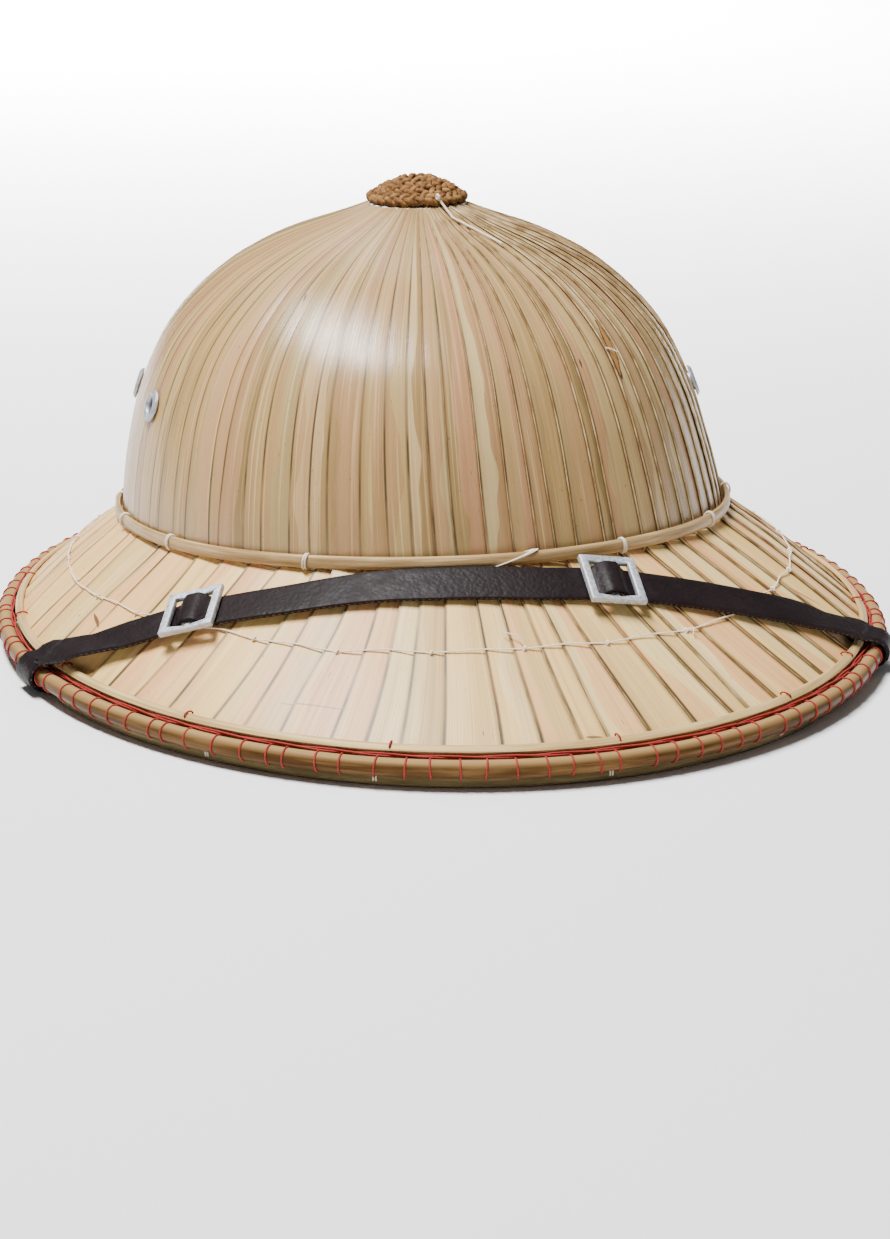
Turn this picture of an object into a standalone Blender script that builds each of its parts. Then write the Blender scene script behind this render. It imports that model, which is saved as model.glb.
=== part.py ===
"""Pith helmet of overlapping palm-leaf strips sewn to cane hoops, with a leather chin strap laid over its brim.

Metres, +Z up. The hat rests on its rim on the plane Z = 0 and its front faces -Y. The origin is on
that plane, at the middle of the rim. Angles round the hat are measured from the front towards +X.
"""

import math

import bmesh
import bpy
import numpy as np
from mathutils import Matrix

MM = 0.001
GAP = 0.3 * MM  # left between two pieces that touch on the real hat

# Whole hat
RIM_LENGTH = 345.8 * MM  # front to back over the round rim cane
RIM_WIDTH = 298.2 * MM
CROWN_LENGTH = 230.4 * MM  # front to back over the leaf, at the crown band
CROWN_WIDTH = 203.4 * MM
CROWN_BACK = 11.1 * MM  # the brim is longer in front, so the crown sits behind the rim's middle
CROWN_ASIDE = -3.7 * MM
CROWN_TOP = 145.0 * MM  # height of the leaf under the button
CROWN_LEAN = -9.2 * MM  # how far the dome drifts aside on its way up
CROWN_RETURN = 7.7 * MM

# Height of the crown band's lower edge above the table
BAND_HEIGHT = 41.6 * MM
BAND_FRONT_RISE = 6.7 * MM  # higher in front than behind
BAND_SIDE_RISE = 1.5 * MM
BAND_OVAL_RISE = 1.0 * MM  # front and back above the sides

# Leaf strips
CROWN_STRIPS = 80
BRIM_STRIPS = 88
LEAF_WALL = 1.7 * MM
LEAF_STEP = 0.8 * MM  # how far a strip's edge stands over its neighbour
STEP_SHARE = 0.07  # of a strip's width that the step takes
CROWN_TUCK = 0.06  # share of the crown's height that goes down inside the brim
BRIM_BOW = 1.2 * MM

# Canes
BAND_CANE_HEIGHT = 4.3 * MM
BAND_CANE_THICKNESS = 2.3 * MM
RIM_CANE_RADIUS = 3.3 * MM
RIM_CANE_HEIGHT = 7.0 * MM  # of its middle
TOP_CANE_WIDTH = 3.3 * MM
TOP_CANE_THICKNESS = 2.0 * MM
UNDER_CANE_WIDTH = 4.4 * MM
UNDER_CANE_HEIGHT = 3.3 * MM
UNDER_CANE_INSET = 1.2 * MM
BRIM_EDGE_RISE = 2.6 * MM  # of the brim's edge over the middle of the round cane
HOOP_SECTIONS = 72

# Chin strap and buckles
STRAP_WIDTH = 12.0 * MM
STRAP_THICKNESS = 1.4 * MM
STRAP_TAIL = 24.0 * MM  # sewn up the inside of the crown
STRAP_STEP = 10.0 * MM  # between two sections
STRAP_WRAP_STEP = 2.6 * MM  # the same round the rim
STRAP_TURN = 20.0  # degrees that it may turn between two sections
WRAP_CLEARANCE = 1.1 * MM  # round the rim canes
TAIL_CLEARANCE = 0.9 * MM  # inside the crown
BUCKLE_LENGTH = 18.6 * MM  # along the strap
BUCKLE_BAR = 2.6 * MM
BUCKLE_THICKNESS = 2.1 * MM
BUCKLE_CENTRE_BAR = 2.0 * MM
BUCKLE_CENTRE_THICKNESS = 1.1 * MM
BUCKLE_CLEARANCE = 0.7 * MM  # between the strap and the side bars over it
BUCKLE_SIDE_GAP = 0.7 * MM  # beside the strap, in the window
BUCKLE_EDGE = 0.35 * MM
BUCKLE_ANGLES = {"buckle_left": -48.5, "buckle_right": 19.3}

# Eyelets, at (angle, share of the crown's height)
EYELET_FLANGE_RADIUS = 5.4 * MM
EYELET_HOLE_RADIUS = 2.7 * MM
EYELET_BARREL_WALL = 0.7 * MM
EYELET_STAND = 1.6 * MM
EYELET_SIDES = 10
EYELET_CUT = 20.0 * MM  # length of the rod that opens the leaf for it
EYELETS = {
    "eyelet_left_front": (-78.0, 0.40),
    "eyelet_left_rear": (-102.0, 0.40),
    "eyelet_right_front": (78.0, 0.40),
    "eyelet_right_rear": (102.0, 0.40),
}

# Button on top, a plait wound in three turns
BUTTON_RADIUS = 17.2 * MM
BUTTON_HEIGHT = 7.4 * MM
BUTTON_COLUMNS = 36
BUTTON_LOBE = 0.05  # of the radius

# Dome: height above the band and width, as shares of the crown's
DOME = (
    # height, width
    (-CROWN_TUCK, 1.000),
    (0.00, 1.000),
    (0.22, 0.961),
    (0.44, 0.896),
    (0.63, 0.792),
    (0.79, 0.621),
    (0.885, 0.443),
    (0.95, 0.258),
    (1.00, 0.130),
)

# Chin strap over the brim. Place is 0 at the band and 1 at the brim's edge, lift is a share of the
# strap's width, and roll is how far its outer edge is turned up.
STRAP_RUN = (
    # angle, place, lift, roll
    (-71.0, 1.00, 0.00, 0.0),
    (-69.0, 0.95, 0.04, 0.0),
    (-64.0, 0.82, 0.10, 5.0),
    (-58.0, 0.64, 0.09, 6.0),
    (-48.5, 0.416, 0.06, 6.0),
    (-36.0, 0.262, 0.08, 5.0),
    (-20.0, 0.135, 0.08, 0.0),
    (-4.0, 0.115, 0.08, -4.0),
    (9.0, 0.152, 0.08, -4.0),
    (19.3, 0.196, 0.06, -2.0),
    (32.0, 0.324, 0.05, 0.0),
    (44.5, 0.512, 0.05, 0.0),
    (54.0, 0.703, 0.06, 0.0),
    (60.0, 0.894, 0.02, 0.0),
    (63.0, 1.00, 0.00, 0.0),
)

# Its hidden stretch on each side: place goes from 1 to 2 round the rim canes, from 2 to 3 under the
# brim to the crown, and from 3 to 4 up inside the crown. Turn is added to the angle of the wrap.
STRAP_HIDDEN = (
    # turn, place
    (3.0, 2.00),
    (7.5, 2.35),
    (10.5, 2.70),
    (11.5, 3.00),
    (11.5, 3.50),
    (11.5, 4.00),
)


def clear_scene():
    """Removes whatever the file was opened with."""
    for item in list(bpy.data.objects):
        bpy.data.objects.remove(item, do_unlink=True)


def new_collection(name):
    """A collection in the scene."""
    made = bpy.data.collections.new(name)
    bpy.context.scene.collection.children.link(made)
    return made


def new_material(name, color, roughness, metallic=0.0):
    """A Principled material."""
    material = bpy.data.materials.new(name)
    material.use_nodes = True
    shader = material.node_tree.nodes["Principled BSDF"]
    shader.inputs["Base Color"].default_value = (*color, 1.0)
    shader.inputs["Roughness"].default_value = roughness
    shader.inputs["Metallic"].default_value = metallic
    return material


def add_object(name, mesh, material, collection):
    """An object of its own material, smooth except at its sharp edges."""
    mesh.shade_smooth()
    mesh.set_sharp_from_angle(angle=math.radians(35))
    mesh.materials.append(material)
    made = bpy.data.objects.new(name, mesh)
    collection.objects.link(made)
    return made


def loft(form, sections, joined=False):
    """Faces through closed sections of one count, joined into a ring if asked; gives their vertices."""
    rings = [[form.verts.new(point) for point in section] for section in sections]
    pairs = list(zip(rings, rings[1:]))
    if joined:
        pairs.append((rings[-1], rings[0]))
    for first, second in pairs:
        count = len(first)
        for i in range(count):
            j = (i + 1) % count
            form.faces.new((first[i], first[j], second[j], second[i]))
    return rings


def bridge(form, first, second):
    """Faces between two loops of vertices, whose counts may differ."""
    edges = []
    for loop in (first, second):
        edges += [form.edges.get((loop[i - 1], loop[i])) for i in range(len(loop))]
    bmesh.ops.bridge_loops(form, edges=edges)


def finish_mesh(name, form):
    """A mesh of the form, with its faces turned out."""
    bmesh.ops.recalc_face_normals(form, faces=form.faces)
    mesh = bpy.data.meshes.new(name)
    form.to_mesh(mesh)
    form.free()
    return mesh


def skin(name, sections, joined=False):
    """A mesh lofted through closed sections, capped at both ends or joined into a ring."""
    form = bmesh.new()
    rings = loft(form, sections, joined)
    if not joined:
        form.faces.new(rings[0])
        form.faces.new(rings[-1])
    return finish_mesh(name, form)


def smooth_rows(rows, column, x):
    """The value of a table's column at x, on a smooth curve through its rows."""
    known = [row[0] for row in rows]
    values = [row[column] for row in rows]
    i = min(max(int(np.searchsorted(known, x)) - 1, 0), len(rows) - 2)

    def slope(k):
        low, high = max(k - 1, 0), min(k + 1, len(rows) - 1)
        return (values[high] - values[low]) / (known[high] - known[low])

    span = known[i + 1] - known[i]
    t = (x - known[i]) / span
    rise = values[i + 1] - values[i]
    start, end = slope(i) * span, slope(i + 1) * span
    return values[i] + t * start + t * t * (3 * rise - 2 * start - end) + t**3 * (start + end - 2 * rise)


def unit(vector):
    """The vector at length 1."""
    return vector / np.linalg.norm(vector)


def oval(angle, length, width, height, middle=(0.0, 0.0)):
    """A point of an upright oval, of half the length and width given."""
    return np.array(
        (middle[0] + width * math.sin(angle), middle[1] - length * math.cos(angle), height)
    )


def band_height(angle):
    """Height of the crown band's lower edge."""
    return (
        BAND_HEIGHT
        + BAND_FRONT_RISE * math.cos(angle)
        + BAND_SIDE_RISE * math.sin(angle)
        + BAND_OVAL_RISE * math.cos(2 * angle)
    )


def crown_middle(share):
    """The middle of the crown at a share of its height."""
    drift = CROWN_LEAN * share + CROWN_RETURN * share * share if share > 0 else 0.0
    return (CROWN_ASIDE + drift, CROWN_BACK)


def crown_surface(angle, share):
    """A point on the outside of the crown, over its strips' raised edges."""
    wide = smooth_rows(DOME, 1, share)
    height = band_height(angle) * (1 - share) + CROWN_TOP * share
    return oval(angle, wide * CROWN_LENGTH / 2, wide * CROWN_WIDTH / 2, height, crown_middle(share))


def normal_at(surface, angle, share, step=0.004):
    """The direction out of a surface that is given by an angle and a share."""
    along = surface(angle + step, share) - surface(angle - step, share)
    across = surface(angle, share + step) - surface(angle, share - step)
    return unit(np.cross(across, along))


def crown_point(angle, share, out=0.0):
    """A point of the crown, moved out of its surface."""
    return crown_surface(angle, share) + out * crown_normal(angle, share)


def crown_normal(angle, share):
    """The direction out of the crown."""
    inside = min(max(share, 0.01), 0.99)
    normal = normal_at(crown_surface, angle, inside)
    return -normal if normal[2] < 0 else normal


def brim_surface(angle, share):
    """A point on top of the brim, from the crown (0) to its outer edge (1)."""
    reach = RIM_CANE_RADIUS + GAP
    inner = oval(
        angle,
        CROWN_LENGTH / 2 + GAP,
        CROWN_WIDTH / 2 + GAP,
        band_height(angle) - GAP,
        (CROWN_ASIDE, CROWN_BACK),
    )
    outer = oval(
        angle,
        RIM_LENGTH / 2 - RIM_CANE_RADIUS - reach,
        RIM_WIDTH / 2 - RIM_CANE_RADIUS - reach,
        RIM_CANE_HEIGHT + BRIM_EDGE_RISE,
    )
    point = inner + share * (outer - inner)
    point[2] += BRIM_BOW * 4 * share * (1 - share)
    return point


def brim_normal(angle, share):
    """The direction out of the top of the brim."""
    normal = normal_at(brim_surface, angle, share)
    return -normal if normal[2] < 0 else normal


def brim_point(angle, share, out=0.0):
    """A point of the brim, moved out of its top surface."""
    return brim_surface(angle, share) + out * brim_normal(angle, share)


def brim_below(angle, share, depth):
    """A point straight under the top of the brim, at a depth measured square to it."""
    point = brim_surface(angle, share)
    point[2] -= depth / brim_normal(angle, share)[2]
    return point


def strip_columns(strips):
    """For each strip, its raised edge and its low edge, as (angle, how far it lies below)."""
    turn = 2 * math.pi / strips
    columns = []
    for i in range(strips):
        columns.append((i * turn, 0.0))
        columns.append(((i + 1 - STEP_SHARE) * turn, LEAF_STEP))
    return columns


def make_crown(collection, cutters):
    """The dome of leaf strips, closed at the top and open below, with a hole for each eyelet."""
    columns = strip_columns(CROWN_STRIPS)
    top = DOME[-1][0]
    outside = []
    inside = []
    for share, _ in DOME:
        fade = min(1.0, (top - share) * 4)
        outside.append([crown_point(angle, share, -low * fade) for angle, low in columns])
        depth = -LEAF_STEP * fade - LEAF_WALL
        inside.append([crown_point(angle, share, depth) for angle, _ in columns[::2]])
    form = bmesh.new()
    outer = loft(form, outside)
    inner = loft(form, inside)
    form.faces.new(outer[-1])
    form.faces.new(inner[-1])
    bridge(form, outer[0], inner[0])
    leaf = new_material("crown_leaf", (0.74, 0.61, 0.42), 0.5)
    crown = add_object("crown", finish_mesh("crown", form), leaf, collection)
    for name, place in EYELETS.items():
        cutter = make_hole_cutter(name, place, cutters)
        cut = crown.modifiers.new("hole_" + name, "BOOLEAN")
        cut.operation = "DIFFERENCE"
        cut.object = cutter
    return crown


def make_brim(collection):
    """The sloping brim of leaf strips, from the crown to the rim canes."""
    columns = strip_columns(BRIM_STRIPS)
    top = []
    under = []
    for share in (0.0, 0.5, 1.0):
        top.append([brim_below(angle, share, low) for angle, low in columns])
        depth = LEAF_STEP + LEAF_WALL
        under.append([brim_below(angle, share, depth) for angle, _ in columns[::2]])
    form = bmesh.new()
    above = loft(form, top)
    below = loft(form, under)
    bridge(form, above[0], below[0])
    bridge(form, above[-1], below[-1])
    leaf = new_material("brim_leaf", (0.78, 0.66, 0.48), 0.5)
    return add_object("brim", finish_mesh("brim", form), leaf, collection)


def hoop_angles():
    """Angles of a hoop's sections."""
    return [2 * math.pi * i / HOOP_SECTIONS for i in range(HOOP_SECTIONS)]


def make_crown_band(collection):
    """The split cane round the foot of the crown."""
    sections = []
    for angle in hoop_angles():
        section = []
        for out, up in ((0.0, 0.0), (1.0, 0.0), (0.8, 1.0), (0.0, 1.0)):
            reach = GAP + out * BAND_CANE_THICKNESS
            height = band_height(angle) + up * BAND_CANE_HEIGHT
            length, width = CROWN_LENGTH / 2 + reach, CROWN_WIDTH / 2 + reach
            section.append(oval(angle, length, width, height, (CROWN_ASIDE, CROWN_BACK)))
        sections.append(section)
    cane = new_material("band_cane", (0.66, 0.50, 0.30), 0.45)
    return add_object("crown_band", skin("crown_band", sections, joined=True), cane, collection)


def make_rim_top_cane(collection):
    """The flat cane sewn along the top of the brim's edge."""
    sections = []
    for angle in hoop_angles():
        edge = brim_surface(angle, 1.0)
        inward = unit(brim_surface(angle, 0.95) - edge)
        normal = brim_normal(angle, 1.0)
        section = []
        for across, up in ((0.05, 0.0), (1.05, 0.0), (0.95, 0.9), (0.15, 1.0)):
            rise = GAP + up * TOP_CANE_THICKNESS
            section.append(edge + inward * across * TOP_CANE_WIDTH + normal * rise)
        sections.append(section)
    cane = new_material("top_cane", (0.72, 0.55, 0.33), 0.4)
    return add_object("rim_top_cane", skin("rim_top_cane", sections, joined=True), cane, collection)


def make_rim_hoop(collection):
    """The round cane that the brim ends against."""
    curve = bpy.data.curves.new("rim_hoop", "CURVE")
    curve.dimensions = "3D"
    curve.bevel_depth = RIM_CANE_RADIUS
    curve.bevel_resolution = 2
    spline = curve.splines.new("POLY")
    spline.points.add(HOOP_SECTIONS - 1)
    for point, angle in zip(spline.points, hoop_angles()):
        place = oval(
            angle,
            RIM_LENGTH / 2 - RIM_CANE_RADIUS,
            RIM_WIDTH / 2 - RIM_CANE_RADIUS,
            RIM_CANE_HEIGHT,
        )
        point.co = (*place, 1.0)
    spline.use_cyclic_u = True
    curve.materials.append(new_material("rim_cane", (0.55, 0.36, 0.16), 0.3))
    hoop = bpy.data.objects.new("rim_hoop", curve)
    collection.objects.link(hoop)
    return hoop


def strap_window(angle):
    """1 where the strap passes under the rim, 0 elsewhere."""
    inside = 0.0
    for wrap, side in ((STRAP_RUN[0][0], -1), (STRAP_RUN[-1][0], 1)):
        middle = math.radians(wrap + side * STRAP_HIDDEN[0][0])
        away = abs((angle - middle + math.pi) % (2 * math.pi) - math.pi)
        half = 0.9 * STRAP_WIDTH / (RIM_WIDTH / 2)
        inside = max(inside, min(1.0, max(0.0, 2.0 - away / half)))
    return inside


def make_rim_under_hoop(collection):
    """The flat-bottomed cane under the rim, thinned where the strap passes beneath it."""
    middle_length = RIM_LENGTH / 2 - RIM_CANE_RADIUS
    middle_width = RIM_WIDTH / 2 - RIM_CANE_RADIUS
    outline = (
        # inward from its outer face as a share of its width, height as a share of its own
        (1.0, 0.0),
        (0.0, 0.0),
        (0.0, 1.0),
        (0.75, 1.5),
        (1.1, 0.8),
    )
    seat = STRAP_THICKNESS + GAP + 1.1 * WRAP_CLEARANCE
    sections = []
    for angle in hoop_angles():
        section = []
        for across, up in outline:
            inset = UNDER_CANE_INSET + across * UNDER_CANE_WIDTH
            height = max(up * UNDER_CANE_HEIGHT, seat * strap_window(angle))
            section.append(oval(angle, middle_length - inset, middle_width - inset, height))
        sections.append(section)
    cane = new_material("under_cane", (0.42, 0.34, 0.17), 0.5)
    mesh = skin("rim_under_hoop", sections, joined=True)
    return add_object("rim_under_hoop", mesh, cane, collection)


def strap_bed(angle):
    """The line the strap's middle may follow at an angle, as points and the place of each one."""
    rest = GAP + STRAP_THICKNESS / 2
    raised = rest + TOP_CANE_THICKNESS + WRAP_CLEARANCE
    slope = np.linalg.norm(brim_surface(angle, 1.0) - brim_surface(angle, 0.0))
    cane = 1.0 - (1.3 * TOP_CANE_WIDTH) / slope
    shares = [-0.15 + 0.15 * i for i in range(7)]
    places = [*shares, cane, 0.99]
    points = [brim_point(angle, share, rest) for share in shares]
    points += [brim_point(angle, share, raised) for share in (cane, 0.99)]
    reach = RIM_CANE_RADIUS + WRAP_CLEARANCE + STRAP_THICKNESS / 2
    length = RIM_LENGTH / 2 - RIM_CANE_RADIUS
    width = RIM_WIDTH / 2 - RIM_CANE_RADIUS
    for i, degrees in enumerate((60, 30, 0, -30, -60)):
        turn = math.radians(degrees)
        out, up = reach * math.cos(turn), reach * math.sin(turn)
        points.append(oval(angle, length + out, width + out, RIM_CANE_HEIGHT + up))
        places.append(1.1 + 0.16 * i)
    inner = UNDER_CANE_INSET + 1.1 * UNDER_CANE_WIDTH + 1.5 * WRAP_CLEARANCE
    points.append(oval(angle, length - UNDER_CANE_INSET, width - UNDER_CANE_INSET, rest))
    places.append(1.9)
    points.append(oval(angle, length - inner, width - inner, rest))
    places.append(2.0)
    under = -LEAF_WALL - LEAF_STEP - TAIL_CLEARANCE - STRAP_THICKNESS / 2
    for out, place in ((0.0, 2.9), (under, 3.0)):
        foot = crown_point(angle, -CROWN_TUCK, out)
        foot[2] -= TAIL_CLEARANCE + STRAP_THICKNESS
        points.append(foot)
        places.append(place)
    tail = STRAP_TAIL / (CROWN_TOP - BAND_HEIGHT)
    for share, place in ((0.0, 3.3), (tail / 2, 3.65), (tail, 4.0)):
        points.append(crown_point(angle, share, under))
        places.append(place)
    return np.array(points), np.array(places)


def bed_lengths(points):
    """Distance of each point of a bed from its outermost one."""
    steps = np.linalg.norm(np.diff(points, axis=0), axis=1)
    lengths = np.concatenate(([0.0], np.cumsum(steps)))
    outermost = int(np.argmax(np.hypot(points[:, 0], points[:, 1])))
    return lengths - lengths[outermost]


def bed_point(angle, length):
    """The point of a bed at a distance from its outermost one."""
    points, _ = strap_bed(angle)
    lengths = bed_lengths(points)
    return np.array([np.interp(length, lengths, points[:, k]) for k in range(3)])


def bed_length_at(angle, place):
    """The distance along a bed of a place on it."""
    points, places = strap_bed(angle)
    return float(np.interp(place, places, bed_lengths(points)))


def strap_rows():
    """The strap from end to end: rows of its run, angle, length along the bed, lift and roll."""
    rows = []
    wrap = STRAP_RUN[0][0]
    for turn, place in reversed(STRAP_HIDDEN):
        rows.append((wrap - turn, place, 0.0, 0.0))
    rows += list(STRAP_RUN)
    wrap = STRAP_RUN[-1][0]
    for turn, place in STRAP_HIDDEN:
        rows.append((wrap + turn, place, 0.0, 0.0))
    laid = []
    run = 0.0
    last = None
    for degrees, place, lift, roll in rows:
        angle = math.radians(degrees)
        length = bed_length_at(angle, place)
        point = bed_point(angle, length)
        if last is not None:
            run += max(np.linalg.norm(point - last), MM)
        last = point
        laid.append((run, angle, length, lift * STRAP_WIDTH, math.radians(roll)))
    return laid


def strap_frame(rows, run):
    """At a run along the strap: its angle and bed length, and the ways along, across and out."""
    step = 0.8 * MM
    start, end = max(run - step, rows[0][0]), min(run + step, rows[-1][0])
    here = [smooth_rows(rows, column, run) for column in (1, 2)]
    before = bed_point(*[smooth_rows(rows, column, start) for column in (1, 2)])
    after = bed_point(*[smooth_rows(rows, column, end) for column in (1, 2)])
    along = unit(after - before)
    turn = 0.01
    reach = 1.5 * MM
    round_way = (bed_point(here[0] + turn, here[1]) - bed_point(here[0] - turn, here[1])) / (2 * turn)
    down_way = (bed_point(here[0], here[1] + reach) - bed_point(here[0], here[1] - reach)) / (2 * reach)
    out = unit(np.cross(down_way, round_way))
    across = unit(np.cross(out, along))
    shares, _, _, _ = np.linalg.lstsq(np.stack([round_way, down_way], axis=1), across, rcond=None)
    return here, shares, along, across, out


def buckle_rise(rows, buckle_runs, run):
    """How far the strap is lifted at a run to pass over a buckle's centre bar."""
    top = BUCKLE_CLEARANCE + BUCKLE_CENTRE_THICKNESS + GAP + STRAP_THICKNESS
    flat = BUCKLE_CENTRE_BAR / 2 + 0.6 * MM
    foot = BUCKLE_LENGTH / 2 - BUCKLE_BAR - 0.3 * MM
    rise = 0.0
    for middle in buckle_runs.values():
        t = min(max((foot - abs(run - middle)) / (foot - flat), 0.0), 1.0)
        rise = max(rise, top * t * t * (3 - 2 * t))
    return rise


def strap_point(rows, frame, run, side, up):
    """A point of the strap: side is across it and up is out of its middle."""
    here, shares, _, across, _ = frame
    angle = here[0] + shares[0] * side
    length = here[1] + shares[1] * side
    lift = smooth_rows(rows, 3, run)
    roll = smooth_rows(rows, 4, run)
    turn = 0.01
    reach = 1.5 * MM
    round_way = bed_point(angle + turn, length) - bed_point(angle - turn, length)
    down_way = bed_point(angle, length + reach) - bed_point(angle, length - reach)
    out = unit(np.cross(down_way, round_way))
    outward = 1 if shares[1] > 0 else -1
    rolled = unit(out * math.cos(roll) - across * outward * math.sin(roll))
    return bed_point(angle, length) + out * (lift + outward * side * math.sin(roll)) + rolled * up


def buckle_places(rows):
    """The run along the strap at each buckle's angle."""
    runs = {}
    samples = np.linspace(rows[0][0], rows[-1][0], 800)
    angles = [smooth_rows(rows, 1, run) for run in samples]
    for name, degrees in BUCKLE_ANGLES.items():
        runs[name] = float(np.interp(math.radians(degrees), angles, samples))
    return runs


def strap_stations(rows, runs):
    """Runs at which the strap gets a section: close together where it bends."""
    samples = np.linspace(rows[0][0], rows[-1][0], 900)
    line = []
    for run in samples:
        frame = strap_frame(rows, run)
        line.append(strap_point(rows, frame, run, 0.0, buckle_rise(rows, runs, run)))
    line = np.array(line)
    wrap_reach = 1.2 * STRAP_WIDTH
    chosen = [0]
    turned = 0.0
    for i in range(1, len(samples) - 1):
        before, after = unit(line[i] - line[i - 1]), unit(line[i + 1] - line[i])
        turned += math.degrees(math.acos(min(1.0, float(before @ after))))
        at_wrap = abs(smooth_rows(rows, 2, samples[i])) < wrap_reach
        step = STRAP_WRAP_STEP if at_wrap else STRAP_STEP
        if turned > STRAP_TURN or samples[i] - samples[chosen[-1]] > step:
            chosen.append(i)
            turned = 0.0
    chosen.append(len(samples) - 1)
    return [samples[i] for i in chosen]


def make_strap(collection):
    """The chin strap, whole: over the brim, round the rim and up inside the crown on both sides."""
    rows = strap_rows()
    runs = buckle_places(rows)
    half = STRAP_WIDTH / 2
    sides = (-half, 0.0, half)
    sections = []
    for run in strap_stations(rows, runs):
        frame = strap_frame(rows, run)
        middle = buckle_rise(rows, runs, run)
        top = [strap_point(rows, frame, run, side, middle + STRAP_THICKNESS / 2) for side in sides]
        under = [strap_point(rows, frame, run, side, middle - STRAP_THICKNESS / 2) for side in sides]
        sections.append(top + under[::-1])
    leather = new_material("strap_leather", (0.05, 0.035, 0.04), 0.45)
    return add_object("chin_strap", skin("chin_strap", sections), leather, collection)


def add_box(name, size, middle, collection):
    """A box of a size, round a middle."""
    form = bmesh.new()
    bmesh.ops.create_cube(form, size=1.0)
    bmesh.ops.scale(form, vec=size, verts=form.verts)
    bmesh.ops.translate(form, vec=middle, verts=form.verts)
    mesh = bpy.data.meshes.new(name)
    form.to_mesh(mesh)
    form.free()
    made = bpy.data.objects.new(name, mesh)
    collection.objects.link(made)
    return made


def hide_cutter(cutter):
    """Marks an object as a tool that isn't part of the hat."""
    cutter.hide_render = True
    cutter.display_type = "WIRE"
    return cutter


def buckle_frame(rows, run):
    """Where a buckle sits: its middle on top of the strap, and its three ways."""
    frame = strap_frame(rows, run)
    half = BUCKLE_LENGTH / 2 - BUCKLE_BAR / 2
    before = strap_point(rows, strap_frame(rows, run - half), run - half, 0.0, 0.0)
    after = strap_point(rows, strap_frame(rows, run + half), run + half, 0.0, 0.0)
    side = STRAP_WIDTH / 2
    across = strap_point(rows, frame, run, side, 0.0) - strap_point(rows, frame, run, -side, 0.0)
    along = unit(after - before)
    out = unit(np.cross(along, across))
    if out[2] < 0:
        out = -out
    across = unit(np.cross(out, along))
    middle = (before + after) / 2
    return middle, along, across, out


def make_buckle(name, rows, run, collection, cutters):
    """A cast slide buckle: a square frame with a lower centre bar that the strap passes over."""
    window = STRAP_WIDTH + 2 * BUCKLE_SIDE_GAP
    width = window + 2 * BUCKLE_BAR
    pocket = BUCKLE_LENGTH - 2 * BUCKLE_BAR
    slot = (pocket - BUCKLE_CENTRE_BAR) / 2
    frame = add_box(name, (BUCKLE_LENGTH, width, BUCKLE_THICKNESS), (0, 0, BUCKLE_THICKNESS / 2), collection)
    deep = 3 * BUCKLE_THICKNESS
    slot_middle = (BUCKLE_CENTRE_BAR + slot) / 2
    cuts = {
        "_pocket": ((pocket, window, deep), (0, 0, BUCKLE_CENTRE_THICKNESS + deep / 2)),
        "_slot_a": ((slot, window, deep), (slot_middle, 0, 0)),
        "_slot_b": ((slot, window, deep), (-slot_middle, 0, 0)),
    }
    middle, along, across, out = buckle_frame(rows, run)
    seat = middle + out * (STRAP_THICKNESS / 2 + BUCKLE_CLEARANCE)
    place = Matrix.Translation(seat) @ Matrix(np.stack([along, across, out], axis=1)).to_4x4()
    frame.matrix_world = place
    for tail, (size, spot) in cuts.items():
        cutter = hide_cutter(add_box(name + tail, size, spot, cutters))
        cutter.matrix_world = place
        cut = frame.modifiers.new("cut" + tail, "BOOLEAN")
        cut.operation = "DIFFERENCE"
        cut.object = cutter
    edge = frame.modifiers.new("cast_edge", "BEVEL")
    edge.width = BUCKLE_EDGE
    edge.segments = 1
    edge.limit_method = "ANGLE"
    frame.data.materials.append(new_material(name + "_zinc", (0.72, 0.73, 0.76), 0.55, 0.7))
    return frame


def eyelet_place(place):
    """The matrix that puts a turned piece's axis through the crown's wall, at its outer face."""
    angle, share = math.radians(place[0]), place[1]
    out = crown_normal(angle, share)
    up = unit(np.cross(out, np.cross((0.0, 0.0, 1.0), out)))
    side = np.cross(up, out)
    turn = Matrix(np.stack([side, up, out], axis=1)).to_4x4()
    return Matrix.Translation(crown_surface(angle, share)) @ turn


def make_hole_cutter(name, place, cutters):
    """A rod the size of an eyelet's barrel, with its clearance."""
    form = bmesh.new()
    radius = EYELET_HOLE_RADIUS + EYELET_BARREL_WALL + GAP
    bmesh.ops.create_cone(
        form, cap_ends=True, segments=EYELET_SIDES, radius1=radius, radius2=radius, depth=EYELET_CUT
    )
    mesh = bpy.data.meshes.new(name + "_cutter")
    form.to_mesh(mesh)
    form.free()
    cutter = bpy.data.objects.new(name + "_cutter", mesh)
    cutters.objects.link(cutter)
    cutter.matrix_world = eyelet_place(place)
    return hide_cutter(cutter)


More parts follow.
